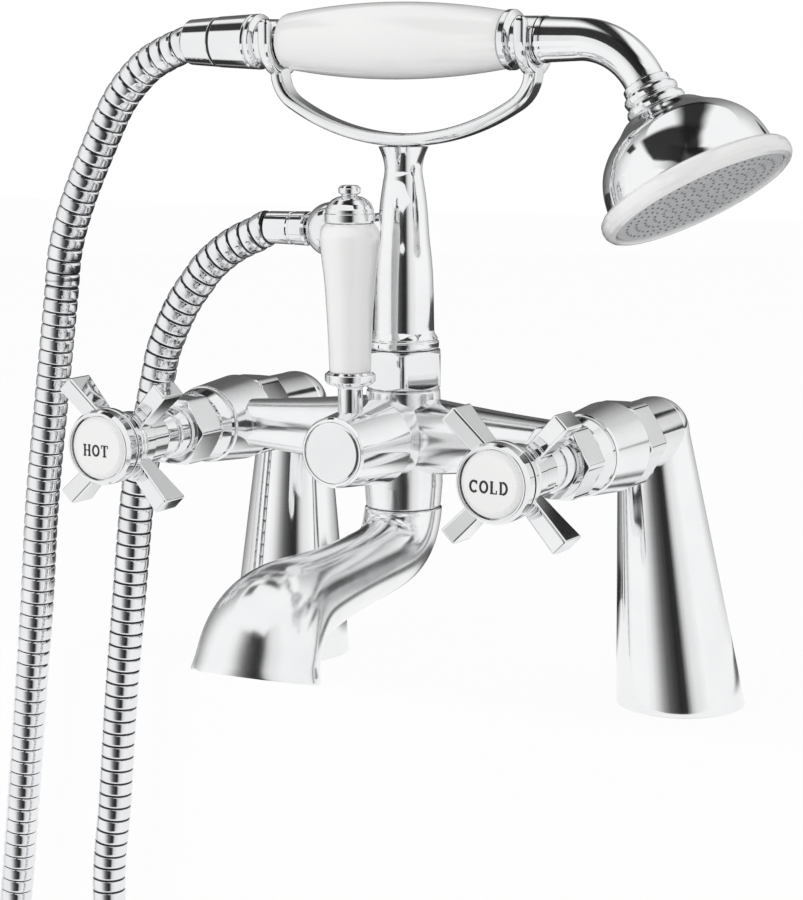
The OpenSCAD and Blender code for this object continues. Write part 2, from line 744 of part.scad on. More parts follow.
module lever_grip() {
    r = lever_d / 2;
    h = lever_len;
    color(white) translate([0, lever_y, lever_foot]) difference() {
        lathe([
            [0.66 * r, 0], [0.69 * r, 0.02 * h], [0.72 * r, 0.2 * h], [0.77 * r, 0.4 * h],
            [0.84 * r, 0.6 * h], [0.93 * r, 0.75 * h], [r, 0.88 * h], [0.99 * r, 0.93 * h],
            [0.93 * r, 0.97 * h], [0.82 * r, h],
        ]);
        translate([0, 0, -1]) cylinder(h = h + 2, r = lever_rod_r + 0.1);
    }
}
module lever_cap() {
    color(chrome) translate([0, lever_y, lever_top]) difference() {
        lathe([
            [9, gap], [9.2, 0.8], [9.2, 3.2], [8.8, 3.6], [8.8, 5],
            [8, 6.8], [6.6, 8.2], [4.8, 9.2], [3, 9.6],
        ]);
        translate([0, 0, -1]) cylinder(h = 7.2, r = lever_rod_r + 0.1);
    }
}
module lever_finial() {
    color(chrome) translate([0, lever_y, lever_top])
        lathe([[2.9, 9.6 + gap], [3, 10.2], [4, 10.6], [4.1, 12.4], [3.6, 13.2], [2.4, 13.6]]);
}

// spout
module spout() {
    rings = len(spout_rows);
    color(chrome) tube_of_rings(
        [for (q = spout_rows) each spout_ring(q, q[3])], rings,
        [for (q = spout_rows) each spout_ring(q, q[4])], rings,
        spout_sides
    );
}
module spout_nipple() {
    color(brass) difference() {
        bar_z(0, body_y, spout_top - 2.5, neck_z + 8, 10.8, 10.8);
        bar_z(0, body_y, spout_top - 4, neck_z + 10, 8, 8);
    }
}
module spout_seal() {
    color(rubber) difference() {
        bar_z(0, body_y, spout_top, neck_z, neck_d / 2 - 0.6, neck_d / 2 - 0.6);
        bar_z(0, body_y, spout_top - 1, neck_z + 1, 11, 11);
    }
}

// pillar and cradle
module pillar_nut() {
    color(chrome) difference() {
        translate([0, body_y, body_top + 0.2]) rotate([0, 0, -61])
            cylinder(h = nut_h - 0.4, r = pillar_af / sqrt(3), $fn = 6);
        bar_z(0, body_y, body_top - 1, post_foot + 4 + gap, pillar_stub_r + gap, pillar_stub_r + gap);
        bar_z(0, body_y, post_foot, ring_z + 1, 8.3, 8.3);
    }
}
module post_seal() {
    color(rubber) difference() {
        bar_z(0, body_y, post_foot - gap, post_foot + 1, pillar_stub_r - 0.2, pillar_stub_r - 0.2);
        bar_z(0, body_y, post_foot - 1, post_foot + 2, 6.5, 6.5);
    }
}
module cradle_post() {
    r = post_d / 2;
    w = waist_d / 2;
    h = post_top - post_base;
    color(chrome) difference() {
        union() {
            bar_z(0, body_y, post_foot + 1, post_foot + 4, pillar_stub_r, pillar_stub_r);
            bar_z(0, body_y, post_foot + 3, ring_z + 1, 8, 8);
            translate([0, body_y, ring_z]) lathe([
                [r + 1.4, 0], [r + 2, 0.8], [r + 2, 2.6], [r + 1.3, 3.4], [r + 1.6, 4], [r + 0.2, 6],
            ]);
            translate([0, body_y, post_base]) lathe([
                [r + 0.2, 0], [r, 0.16 * h], [r - 0.2, 0.3 * h], [0.62 * r + 0.38 * w, 0.52 * h],
                [0.42 * r + 0.58 * w, 0.68 * h], [0.15 * r + 0.85 * w, 0.8 * h], [w, 0.86 * h],
                [w + 0.2, 0.9 * h], [w + 1, 0.95 * h], [w + 2.4, h],
            ]);
            bar_x(-ball_x + 6, 0, body_y, outlet_z, 6.4, 7.4);
        }
        bar_z(0, body_y, post_foot, outlet_z + 2, 5, 5);
        bar_x(-ball_x, 0, body_y, outlet_z, 4, 4);
        bar_z(0, body_y, post_top - 14, post_top + 1, screw_r + run, screw_r + run);
        translate([-ball_x, body_y, outlet_z]) sphere(r = ball_d / 2 + gap);
    }
}
module bow_bar(t, w) {
    translate([0, w / 2 - t / 2]) circle(r = t / 2, $fn = 32);
    translate([0, t / 2 - w / 2]) circle(r = t / 2, $fn = 32);
    translate([-t / 2, t / 2 - w / 2]) square([t, w - t]);
}
module fork() {
    prong_mid = (fork_r + fork_out_r) / 2;
    prong_w = fork_out_r - fork_r;
    translate([fork_x - fork_t / 2, body_y, hand_z])
        rotate([90, 0, 90])
            linear_extrude(height = fork_t) difference() {
                union() {
                    circle(r = fork_out_r);
                    translate([-fork_out_r, 0]) square([2 * fork_out_r, prong_top - hand_z]);
                    for (s = [-1, 1])
                        translate([s * prong_mid, prong_top - hand_z]) circle(r = prong_w / 2);
                }
                circle(r = fork_r);
                translate([-fork_r, 0]) square([2 * fork_r, 30]);
            }
}
module cradle() {
    color(chrome) difference() {
        union() {
            translate([0, body_y, bow_cz]) rotate([90, 0, 0])
                rotate([0, 0, -90 - bow_a]) rotate_extrude(angle = 2 * bow_a, $fn = 96)
                    translate([bow_r, 0]) bow_bar(bow_t, bow_w);
            both_sides() {
                translate([knee_x, body_y, knee_z]) rotate([90, 0, 0])
                    rotate([0, 0, -98 + bow_a]) rotate_extrude(angle = 98 - bow_a)
                        translate([bow_in_r, 0]) bow_bar(bow_t + 0.6, bow_w + 0.6);
                fork();
            }
        }
        bar_z(0, body_y, bow_low - 1, bow_low + 20, screw_r + 0.3, screw_r + 0.3);
        bar_z(0, body_y, bow_low + bow_t - 2, bow_low + bow_t + 0.01, screw_r, 4.6);
    }
}
module cradle_screw() {
    color(steel) {
        bar_z(0, body_y, bow_low + bow_t - 2, bow_low + bow_t - 0.1, screw_r - 0.1, 4.4);
        bar_z(0, body_y, post_top - 12, bow_low + bow_t - 1.5, screw_r, screw_r);
    }
}
module outlet_ball() {
    r = ball_d / 2;
    color(chrome) translate([-ball_x, body_y, outlet_z]) rotate([0, -90, 0]) rotate_extrude() {
        difference() {
            union() {
                circle(r = r);
                square([5, r + ball_stub]);
            }
            translate([-2 * r, -2 * r]) square([2 * r + 3, 6 * r]);
        }
    }
}
module outlet_nut() {
    color(chrome) difference() {
        bar_x(outlet_nut_end, ball_end + 0.8, body_y, outlet_z, 6.2, 6.6);
        bar_x(outlet_nut_end - 1, ball_end + 2, body_y, outlet_z, tail_r + 0.3, tail_r + 0.3);
        translate([-ball_x, body_y, outlet_z]) sphere(r = ball_d / 2 + gap);
    }
}
module outlet_washer() {
    washer_x = ball_end - ball_stub - outlet_washer_t;
    color(rubber) difference() {
        bar_x(washer_x, washer_x + outlet_washer_t, body_y, outlet_z, 4.9, 4.9);
        bar_x(washer_x - 1, washer_x + outlet_washer_t + 1, body_y, outlet_z, 3, 3);
    }
}
module hose() {
    color(chrome) tube_of_rings(hose_outer, len(hose_stations), hose_inner, bore_count + 1, 8);
}

// handset
module hose_cone() {
    color(chrome) difference() {
        translate([cone_end, body_y, hand_z]) rotate([0, 90, 0]) lathe([
            [hose_r + 1, 0], [hose_r + 1.8, 0.8], [hose_r + 2.6, 13], [hose_r + 2.1, 13.3],
            [hose_r + 2.1, 14.1], [hose_r + 2.8, 14.4], [hose_r + 3.5, 30 - gap],
        ]);
        bar_x(cone_end - 1, cone_end + 16, body_y, hand_z, tail_r + free, tail_r + free);
        bar_x(cone_end + 15, rear_face + 1, body_y, hand_z, 9.1, 9.1);
    }
}
module handset_washer() {
    color(rubber) difference() {
        bar_x(cone_end + 15, cone_end + 17, body_y, hand_z, 8.9, 8.9);
        bar_x(cone_end + 14, cone_end + 18, body_y, hand_z, core_bore_r, core_bore_r);
    }
}
module handset_core() {
    color(brass) difference() {
        union() {
            bar_x(cone_end + 17, rear_face, body_y, hand_z, 9, 9);
            bar_x(rear_face - 1, arm_x0 + 8, body_y, hand_z, core_r, core_r);
        }
        bar_x(cone_end + 16, arm_x0 + 9, body_y, hand_z, core_bore_r, core_bore_r);
    }
}
module rear_collar() {
    color(chrome) difference() {
        union() {
            bar_x(rear_face, rear_face + 2.5, body_y, hand_z, 10.6, 10.6);
            bar_x(rear_face + 2.5, rear_face + 4, body_y, hand_z, 10.6, seat_r);
            bar_x(rear_face + 4, grip_x0, body_y, hand_z, seat_r, seat_r);
        }
        bar_x(rear_face - 1, grip_x0 + 1, body_y, hand_z, core_r + gap, core_r + gap);
    }
}
module grip() {
    half = (grip_x1 - grip_x0) / 2;
    rise = (grip_d - grip_end_d) / 2;
    big = (half * half + rise * rise) / (2 * rise);
    color(white) difference() {
        translate([grip_mid, body_y, hand_z]) rotate([0, 90, 0]) rotate_extrude() intersection() {
            translate([grip_d / 2 - big, 0]) circle(r = big, $fn = 180);
            translate([0, -half + gap]) square([grip_d, 2 * half - 2 * gap]);
        }
        bar_x(grip_x0 - 1, grip_x1 + 1, body_y, hand_z, core_r + gap, core_r + gap);
    }
}
module front_collar() {
    color(chrome) difference() {
        union() {
            bar_x(grip_x1, grip_x1 + 0.8, body_y, hand_z, 10.2, 11);
            bar_x(grip_x1 + 0.8, grip_x1 + 3, body_y, hand_z, 11, 11);
            bar_x(grip_x1 + 3, grip_x1 + 4.5, body_y, hand_z, 11, seat_r);
            bar_x(grip_x1 + 4.5, arm_x0 - gap, body_y, hand_z, seat_r, seat_r);
        }
        bar_x(grip_x1 - 1, arm_x0 + 1, body_y, hand_z, core_r + gap, core_r + gap);
    }
}
module rolled() {
    translate([0, body_y, hand_z]) rotate([-hand_roll, 0, 0]) children();
}
module rose_frame() {
    rolled() translate([rose_x, 0, rose_z - hand_z]) rotate([0, 90 + hand_bend, 0]) children();
}
module arm_bend(r) {
    translate([arm_x1, 0, -arm_bend_r]) rotate([90, 0, 0])
        rotate([0, 0, 90 - hand_bend]) rotate_extrude(angle = hand_bend)
            translate([arm_bend_r, 0]) circle(r = r);
}
module handset_arm() {
    r = hand_arm_d / 2;
    color(chrome) difference() {
        union() {
            bar_x(arm_x0, arm_x0 + 2.5, body_y, hand_z, seat_r, seat_r);
            bar_x(arm_x0 + 2, arm_x1 + 1, body_y, hand_z, r + 0.8, r + 0.2);
            rolled() arm_bend(r);
            rose_frame() translate([0, 0, -1.5]) cylinder(h = 7.5, r = r - 0.6);
        }
        bar_x(arm_x0 - 1, arm_x0 + 8.4, body_y, hand_z, core_r + 0.05, core_r + 0.05);
        bar_x(arm_x0 + 8, arm_x1 + 0.5, body_y, hand_z, 4.6, 4.6);
        rolled() arm_bend(4.4);
        rose_frame() translate([0, 0, -1.5]) cylinder(h = 9, r = 4.1);
    }
}
module rose_nut() {
    color(chrome) rose_frame() difference() {
        translate([0, 0, 0.3]) lathe([
            [7.9, 0], [8.6, 0.6], [8.6, 2.6], [8.2, 3.2], [9.7, 4], [10.1, 4.9], [9.7, 6.6], [9, 7.2],
            [10.6, 8.3], [11, 9.4], [10.6, 11], [10.2, nut_t - 0.4],
        ]);
        translate([0, 0, -1]) cylinder(h = 7.1, r = hand_arm_d / 2 - 0.5);
        translate([0, 0, 5]) cylinder(h = nut_t, r = 6);
    }
}
module rose_bell() {
    b = bell_d / 2;
    color(chrome) rose_frame() difference() {
        lathe([
            [11.6, nut_t], [13.4, nut_t + 0.9], [0.56 * b, nut_t + 4.2], [0.73 * b, nut_t + 8],
            [0.87 * b, nut_t + 13], [0.95 * b, nut_t + 18.5], [0.99 * b, nut_t + 24], [b, bell_t],
        ]);
        lathe([
            [6, nut_t - 1], [6, nut_t + 3], [0.48 * b, nut_t + 6.8], [0.65 * b, nut_t + 10.4],
            [0.79 * b, nut_t + 15], [0.87 * b, nut_t + 20], [b - 2.4, nut_t + 25], [b - 2.4, bell_t + 1],
        ]);
    }
}
module rose_ring() {
    q = ring_d / 2;
    color(white) rose_frame() difference() {
        lathe([
            [bell_d / 2 + 0.8, bell_t - 2], [q - 1.6, bell_t - 1.2], [q - 0.4, bell_t], [q, bell_t + 1.8],
            [q - 0.2, bell_t + 3.6], [q - 1.2, bell_t + 5.2], [q - 2.4, face_t],
        ]);
        translate([0, 0, bell_t - 3]) cylinder(h = 3 + gap, r = bell_d / 2 + gap);
        translate([0, 0, bell_t]) cylinder(h = 3.2, r = bell_d / 2 - 2.4);
        translate([0, 0, bell_t + 3]) cylinder(h = 6, r = plate_r + gap);
    }
}
module spray_plate() {
    color(grey) rose_frame() difference() {
        translate([0, 0, bell_t + 3]) cylinder(h = face_t - bell_t - 4, r = plate_r);
        for (k = [1 : 4])
            for (i = [0 : 6 * k - 1])
                rotate(i * 60 / k) translate([k * plate_r / 5.2, 0, bell_t])
                    cylinder(h = 12, r = jet_d / 2, $fn = 24);
    }
}

deck_washers();
tails();
backnut_washers();
backnuts();
leg_hot();
leg_cold();
union_washers();
union_nuts();
mixer_body();
bonnets();
gland_nuts();
bonnet_seals();
fixed_discs();
diverter_gland();
diverter_seal();
diverter_seat();
spindle_hot();
moving_disc_hot();
handle_hot();
handle_screw_hot();
index_rim_hot();
index_hot();
spindle_cold();
moving_disc_cold();
handle_cold();
handle_screw_cold();
index_rim_cold();
index_cold();
diverter_spindle();
diverter_plate();
diverter_drum();
drum_screw();
drum_cover();
lever_stem();
lever_grip();
lever_cap();
lever_finial();
spout();
spout_nipple();
spout_seal();
pillar_nut();
post_seal();
cradle_post();
cradle();
cradle_screw();
outlet_ball();
outlet_nut();
outlet_washer();
hose();
hose_cone();
handset_washer();
handset_core();
rear_collar();
grip();
front_collar();
handset_arm();
rose_nut();
rose_bell();
rose_ring();
spray_plate();
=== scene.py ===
from math import cos, pi, radians, sin, sqrt, tan
import bmesh
import bpy
from mathutils import Matrix, Vector


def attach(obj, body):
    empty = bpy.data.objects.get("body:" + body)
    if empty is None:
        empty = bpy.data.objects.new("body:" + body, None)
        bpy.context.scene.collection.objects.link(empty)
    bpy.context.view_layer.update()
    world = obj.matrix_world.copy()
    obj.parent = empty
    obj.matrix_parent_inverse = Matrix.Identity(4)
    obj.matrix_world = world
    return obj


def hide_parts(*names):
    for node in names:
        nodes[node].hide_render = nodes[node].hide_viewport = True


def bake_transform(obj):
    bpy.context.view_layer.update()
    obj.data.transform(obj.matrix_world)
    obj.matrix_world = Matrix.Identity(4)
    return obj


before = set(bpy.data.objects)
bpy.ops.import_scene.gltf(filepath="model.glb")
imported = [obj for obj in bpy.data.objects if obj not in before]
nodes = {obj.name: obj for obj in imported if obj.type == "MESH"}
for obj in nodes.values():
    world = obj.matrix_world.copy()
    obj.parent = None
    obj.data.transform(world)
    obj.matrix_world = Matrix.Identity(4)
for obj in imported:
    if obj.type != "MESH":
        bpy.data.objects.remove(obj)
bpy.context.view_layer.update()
scene = bpy.context.scene
mm = 0.001
sides = 96  # points round a turned piece
print("frame loaded with", len(nodes), "nodes")

# camera
camSetup = {"place": (0.43928, -0.84886, 0.24333), "tilt": 81.08, "turn": 29.22, "lens": 95.56}
photoCamera = bpy.data.objects.new("photoCamera", bpy.data.cameras.new("photoCamera"))
photoCamera.location = camSetup["place"]
photoCamera.rotation_euler = (radians(camSetup["tilt"]), 0, radians(camSetup["turn"]))
photoCamera.data.lens = camSetup["lens"]
photoCamera.data.sensor_width = 36
scene.collection.objects.link(photoCamera)
scene.camera = photoCamera
scene.view_settings.view_transform = "Standard"
print("camera set")


# materials
def newMaterial(name, **values):
    mat = bpy.data.materials.new(name)
    mat.use_nodes = True
    bsdf = mat.node_tree.nodes["Principled BSDF"]
    for socket, value in values.items():
        bsdf.inputs[socket.replace("_", " ")].default_value = value
    return mat, mat.node_tree, bsdf


def grain(tree, scale, low, high, detail=4.0, stretch=(1, 1, 1)):
    coord = tree.nodes.new("ShaderNodeTexCoord")
    mapping = tree.nodes.new("ShaderNodeMapping")
    mapping.inputs["Scale"].default_value = stretch
    noise = tree.nodes.new("ShaderNodeTexNoise")
    noise.inputs["Scale"].default_value = scale
    noise.inputs["Detail"].default_value = detail
    spread = tree.nodes.new("ShaderNodeMapRange")
    spread.inputs["From Min"].default_value = 0.3
    spread.inputs["From Max"].default_value = 0.7
    spread.inputs["To Min"].default_value = low
    spread.inputs["To Max"].default_value = high
    tree.links.new(coord.outputs["Object"], mapping.inputs["Vector"])
    tree.links.new(mapping.outputs["Vector"], noise.inputs["Vector"])
    tree.links.new(noise.outputs["Fac"], spread.inputs["Value"])
    return spread.outputs["Result"]


def tint(tree, fac, dark, light):
    ramp = tree.nodes.new("ShaderNodeValToRGB")
    ramp.color_ramp.elements[0].color = (*dark, 1)
    ramp.color_ramp.elements[1].color = (*light, 1)
    tree.links.new(fac, ramp.inputs["Fac"])
    return ramp.outputs["Color"]


def bumpy(tree, height, strength, distance):
    bump = tree.nodes.new("ShaderNodeBump")
    bump.inputs["Strength"].default_value = strength
    bump.inputs["Distance"].default_value = distance
    tree.links.new(height, bump.inputs["Height"])
    return bump.outputs["Normal"]


def polished(name, dark, light, smooth, worn, wave):  # a faint haze over long shallow waves
    toneScale, hazeScale, waveScale, waveDepth = 60, 240, 45, 0.0004
    mat, tree, bsdf = newMaterial(name, Metallic=1.0)
    tree.links.new(tint(tree, grain(tree, toneScale, 0, 1), dark, light), bsdf.inputs["Base Color"])
    tree.links.new(grain(tree, hazeScale, smooth, worn), bsdf.inputs["Roughness"])
    waves = bumpy(tree, grain(tree, waveScale, 0, 1, 1.0), wave, waveDepth)
    tree.links.new(waves, bsdf.inputs["Normal"])
    return mat


def turned(name, dark, light, rough):  # fine tool marks
    toneScale, hazeScale, markScale, markStrength, markDepth = 90, 300, 900, 0.15, 0.0001
    mat, tree, bsdf = newMaterial(name, Metallic=1.0)
    tree.links.new(tint(tree, grain(tree, toneScale, 0, 1), dark, light), bsdf.inputs["Base Color"])
    marks = grain(tree, markScale, 0, 1, 2.0, (0.05, 1, 1))
    tree.links.new(grain(tree, hazeScale, rough - 0.06, rough + 0.08), bsdf.inputs["Roughness"])
    tree.links.new(bumpy(tree, marks, markStrength, markDepth), bsdf.inputs["Normal"])
    return mat


def matt(name, dark, light, low, high, scale, strength, coat=0.0):  # no metal, with or without a glaze
    toneShare, poreDepth = 0.3, 0.0002
    mat, tree, bsdf = newMaterial(name, Coat_Weight=coat, Coat_Roughness=0.04)
    tree.links.new(tint(tree, grain(tree, scale * toneShare, 0, 1), dark, light), bsdf.inputs["Base Color"])
    tree.links.new(grain(tree, scale, low, high), bsdf.inputs["Roughness"])
    tree.links.new(bumpy(tree, grain(tree, scale, 0, 1), strength, poreDepth), bsdf.inputs["Normal"])
    return mat


chrome = polished("chromePlate", (0.82, 0.825, 0.835), (0.87, 0.875, 0.88), 0.02, 0.05, 0.02)
softChrome = polished("softChrome", (0.87, 0.875, 0.885), (0.91, 0.915, 0.92), 0.05, 0.08, 0.01)
castChrome = polished("castChrome", (0.87, 0.875, 0.885), (0.92, 0.925, 0.93), 0.14, 0.18, 0.01)
hoseSkin = polished("hoseSkin", (0.8, 0.805, 0.82), (0.88, 0.885, 0.9), 0.07, 0.13, 0.02)
hoseSeam = turned("hoseSeam", (0.05, 0.05, 0.055), (0.09, 0.09, 0.095), 0.42)
brass = turned("brassTurned", (0.62, 0.46, 0.18), (0.76, 0.6, 0.28), 0.26)
steel = turned("steelTurned", (0.5, 0.51, 0.53), (0.64, 0.65, 0.67), 0.3)
glaze = matt("whiteGlaze", (0.9, 0.9, 0.895), (0.94, 0.94, 0.935), 0.1, 0.16, 70, 0.03, 0.7)
lapped = matt("lappedCeramic", (0.8, 0.78, 0.71), (0.88, 0.86, 0.8), 0.2, 0.3, 300, 0.04)
rubber = matt("rubberMatt", (0.012, 0.012, 0.013), (0.03, 0.03, 0.032), 0.6, 0.75, 700, 0.25)
plateGrey = matt("plateGrey", (0.54, 0.55, 0.56), (0.62, 0.63, 0.64), 0.32, 0.42, 600, 0.12)
# nozzles: the plate's grey made darker, painted shade standing in for their jet holes
nozzleShadeGrey = matt("nozzleShadeGrey", (0.24, 0.245, 0.25), (0.34, 0.345, 0.35), 0.45, 0.55, 900, 0.1)
enamel = matt("darkEnamel", (0.012, 0.012, 0.014), (0.03, 0.03, 0.034), 0.3, 0.4, 500, 0.05)
print("materials made")


# mesh helpers, all in millimetres
def frameX(y, z):
    return Matrix(((0, 0, 1, 0), (1, 0, 0, y), (0, 1, 0, z), (0, 0, 0, 1)))


def frameY(x, z):
    return Matrix(((1, 0, 0, x), (0, 0, 1, 0), (0, 1, 0, z), (0, 0, 0, 1)))


def frameZ(x, y):
    return Matrix.Translation((x, y, 0))


def roundRows(rows, steps=5, share=0.48):  # rows of (along, radius, fillet)
    out = []
    for i, row in enumerate(rows):
        here = Vector(row[:2])
        if len(row) < 3 or i in (0, len(rows) - 1):
            out.append(here)
            continue
        back, on = Vector(rows[i - 1][:2]) - here, Vector(rows[i + 1][:2]) - here
        angle = back.angle(on)
        reach = min(row[2] / tan(angle / 2), share * back.length, share * on.length)
        r = reach * tan(angle / 2)
        centre = here + (back.normalized() + on.normalized()).normalized() * (r / sin(angle / 2))
        u, v = here + back.normalized() * reach - centre, here + on.normalized() * reach - centre
        sweep = pi - angle
        for k in range(steps + 1):
            s = k / steps
            out.append(centre + (u * sin((1 - s) * sweep) + v * sin(s * sweep)) / sin(sweep))
    return out


def smoothRows(rows, steps=6):  # curve through rows
    pts = [Vector(r) for r in rows]
    out = []
    for i in range(len(pts) - 1):
        a, b, c, d = pts[max(i - 1, 0)], pts[i], pts[i + 1], pts[min(i + 2, len(pts) - 1)]
        for k in range(steps):
            t = k / steps
            out.append(0.5 * (2 * b + (c - a) * t + (2 * a - 5 * b + 4 * c - d) * t * t
                              + (3 * b - a - 3 * c + d) * t ** 3))
    return out + [pts[-1]]


def addRings(bm, rings, capFirst=True, capLast=True, loop=False, paint=None):
    rows = [[bm.verts.new(p) for p in ring] for ring in rings]
    count = len(rows[0])
    pairs = list(zip(rows, rows[1:])) + ([(rows[-1], rows[0])] if loop else [])
    for i, (a, b) in enumerate(pairs):
        for k in range(count):
            n = (k + 1) % count
            face = bm.faces.new((a[k], a[n], b[n], b[k]))
            if paint:
                face.material_index = paint[i]
    if capFirst and not loop:
        bm.faces.new(rows[0])
    if capLast and not loop:
        bm.faces.new(rows[-1])


def addLathe(bm, place, rows, loop=False, around=None):
    n = around or sides
    turn = [2 * pi * k / n for k in range(n)]
    rings = [[place @ Vector((r * cos(a), r * sin(a), t)) for a in turn] for t, r in rows]
    addRings(bm, rings, loop=loop)


def addHex(bm, place, flats, low, high, twist=0.0, perFace=16):  # both ends chamfered
    corner, start, steps, blunt = flats / sqrt(3), flats * 0.49, 8, 0.985
    depth = (corner - start) * tan(radians(30))
    rows = [(depth * k / steps, start + (corner - start) * k / steps) for k in range(steps + 1)]
    rows = [(low + d, r) for d, r in rows] + [(high - d, r) for d, r in reversed(rows)]
    rings = []
    for t, limit in rows:
        ring = []
        for k in range(6 * perFace):
            a = 2 * pi * k / (6 * perFace)
            off = (a + pi / 6) % (pi / 3) - pi / 6
            r = min(flats / 2 / cos(pi / 6 - abs(off)), limit, corner * blunt)
            ring.append(place @ Vector((r * cos(a + twist), r * sin(a + twist), t)))
        rings.append(ring)
    addRings(bm, rings)


def roundRect(w, h, r, steps=5):
    pts = []
    for q, (x, y) in enumerate(((1, 1), (-1, 1), (-1, -1), (1, -1))):
        for k in range(steps + 1):
            a = pi / 2 * (q + k / steps)
            pts.append((x * (w / 2 - r) + r * cos(a), y * (h / 2 - r) + r * sin(a)))
    return pts


def addSweep(bm, points, across, section):
    rings = []
    for i, p in enumerate(points):
        way = (points[min(i + 1, len(points) - 1)] - points[max(i - 1, 0)]).normalized()
        up = across.cross(way)
        rings.append([p + up * a + across * b for a, b in section(i)])
    addRings(bm, rings)


def makePiece(name, bm, mats, body, stands=(), crease=38):
    bmesh.ops.recalc_face_normals(bm, faces=bm.faces)
    bmesh.ops.scale(bm, vec=(mm, mm, mm), verts=bm.verts)
    mesh = bpy.data.meshes.new(name)
    bm.to_mesh(mesh)
    bm.free()
    mesh.shade_smooth()
    mesh.set_sharp_from_angle(angle=radians(crease))
    piece = bpy.data.objects.new(name, mesh)
    scene.collection.objects.link(piece)
    for mat in mats if isinstance(mats, list) else [mats]:
        mesh.materials.append(mat)
    evenOut = piece.modifiers.new("evenNormals", "WEIGHTED_NORMAL")
    evenOut.keep_sharp = True
    if body:
        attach(piece, body)
    if stands:
        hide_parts(*stands)
    return piece


# hose, with the nuts that hold it
bodyY, valveX, valveZ, outletZ, handZ = -62, 81, 108, 185, 255.98
hoseRun = {  # x, z of its middle from either end, and of the stretch that follows the handset
    "start": (-52.8, outletZ), "end": (-88.3, handZ), "pitch": 5.4, "plain": 6.7, "cuffR": 4.8,
    "cuffGap": 0.4, "seamR": 6.5, "stretch": [(-128, 96), (-179.2, 134.4)],
    "near": [(0, 0), (-4, 0), (-8, -0.5), (-12, -2.6), (-18, -5), (-24, -8), (-30, -12), (-36, -17),
             (-41, -23), (-46, -29), (-51, -37), (-55, -45), (-58, -52), (-60, -60), (-67, -89),
             (-72, -114), (-77, -156), (-82, -199), (-86, -243), (-90, -283), (-86, -334), (-74, -389),
             (-58, -444), (-45, -499), (-42, -554), (-56, -606), (-88, -641)],
    "far": [(-94, -710), (-124, -680), (-138, -630), (-136, -575), (-128, -520), (-119, -463),
            (-111, -411), (-104, -362), (-99, -321), (-94, -276), (-89, -232), (-85, -189), (-79, -146),
            (-73, -104), (-70, -83), (-63, -63), (-51, -39), (-41, -22), (-29, -10), (-19, -4.5),
            (-11, -1.5), (-7, -0.3), (-3, 0), (0, 0)],
}
knots = [Vector((hoseRun["start"][0] + x, hoseRun["start"][1] + z)) for x, z in hoseRun["near"]]
knots += [Vector((hoseRun["end"][0] + x, hoseRun["end"][1] + z)) for x, z in hoseRun["far"]]
line = smoothRows(knots, 24)
walked = [0.0]
for a, b in zip(line, line[1:]):
    walked.append(walked[-1] + (b - a).length)
hoseLength = walked[-1]


def alongHose(s):
    i = next((k for k in range(1, len(walked)) if walked[k] >= s), len(walked) - 1)
    part = (s - walked[i - 1]) / max(walked[i] - walked[i - 1], 1e-9)
    way = line[min(i + 1, len(line) - 1)] - line[max(i - 2, 0)]
    return line[i - 1].lerp(line[i], part), way.normalized()


# share of the pitch, radius
ribShape = [(0.0, 6.3), (0.04, 6.35), (0.07, 6.75), (0.15, 6.93), (0.3, 7.0), (0.62, 7.0), (0.8, 6.94),
            (0.91, 6.75), (0.95, 6.35)]
ribSpan = hoseLength - 2 * hoseRun["plain"]
ribCount = round(ribSpan / hoseRun["pitch"])
cuffLength = hoseRun["plain"] - hoseRun["cuffGap"]
stations = [(0.0, hoseRun["cuffR"]), (cuffLength, hoseRun["cuffR"])]
for i in range(ribCount):
    stations += [(hoseRun["plain"] + (i + f) * ribSpan / ribCount, r) for f, r in ribShape]
stations += [(hoseLength - cuffLength, hoseRun["cuffR"]), (hoseLength, hoseRun["cuffR"])]
hoseAround = 28
rings, paint = [], []
for s, r in stations:
    spot, way = alongHose(s)
    ring = []
    for k in range(hoseAround):
        a = 2 * pi * k / hoseAround
        ring.append((spot.x - way.y * r * cos(a), bodyY + r * sin(a), spot.y + way.x * r * cos(a)))
    rings.append(ring)
    paint.append(1 if r < hoseRun["seamR"] else 0)
bm = bmesh.new()
addRings(bm, rings, paint=paint[:-1])
hosePipe = makePiece("hosePipe", bm, [hoseSkin, hoseSeam], None, ["hose"], 60)
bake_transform(hosePipe)  # baked in place, on no body

outletNutSize = [(-59.5, 5.1), (-59.5, 5.9, 0.3), (-58.9, 6.25, 0.3), (-49, 6.4, 0.2), (-48.6, 6.1, 0.2),
                 (-47.8, 6.1, 0.2), (-47.4, 6.45, 0.2), (-42, 6.6, 0.4), (-40.7, 6.3, 0.3), (-40.7, 5.1)]
bm = bmesh.new()
addLathe(bm, frameX(bodyY, outletZ), roundRows(outletNutSize), loop=True)
outletNut = makePiece("outletNut", bm, chrome, "stand", ["outlet_nut"])

hoseConeSize = [(-95, 5.4), (-95, 7.9, 0.4), (-94.2, 8.75, 0.5), (-82.2, 9.55, 0.3), (-81.9, 9.1, 0.1),
                (-81.1, 9.1, 0.1), (-80.8, 9.75, 0.3), (-65.8, 10.5, 0.6), (-65.1, 10.0, 0.3), (-65.1, 9.1),
                (-79.9, 9.1), (-79.9, 5.4)]
seamFrom, seamTo = -82.1, -80.9
bm = bmesh.new()
addLathe(bm, frameX(bodyY, handZ), roundRows(hoseConeSize), loop=True)
for face in bm.faces:  # dark seam round the nut
    if seamFrom < face.calc_center_median().x < seamTo:
        face.material_index = 1
hoseCone = makePiece("hoseCone", bm, [chrome, enamel], "handset", ["hose_cone"])

print("hose", round(hoseLength), "mm,", ribCount, "ribs")

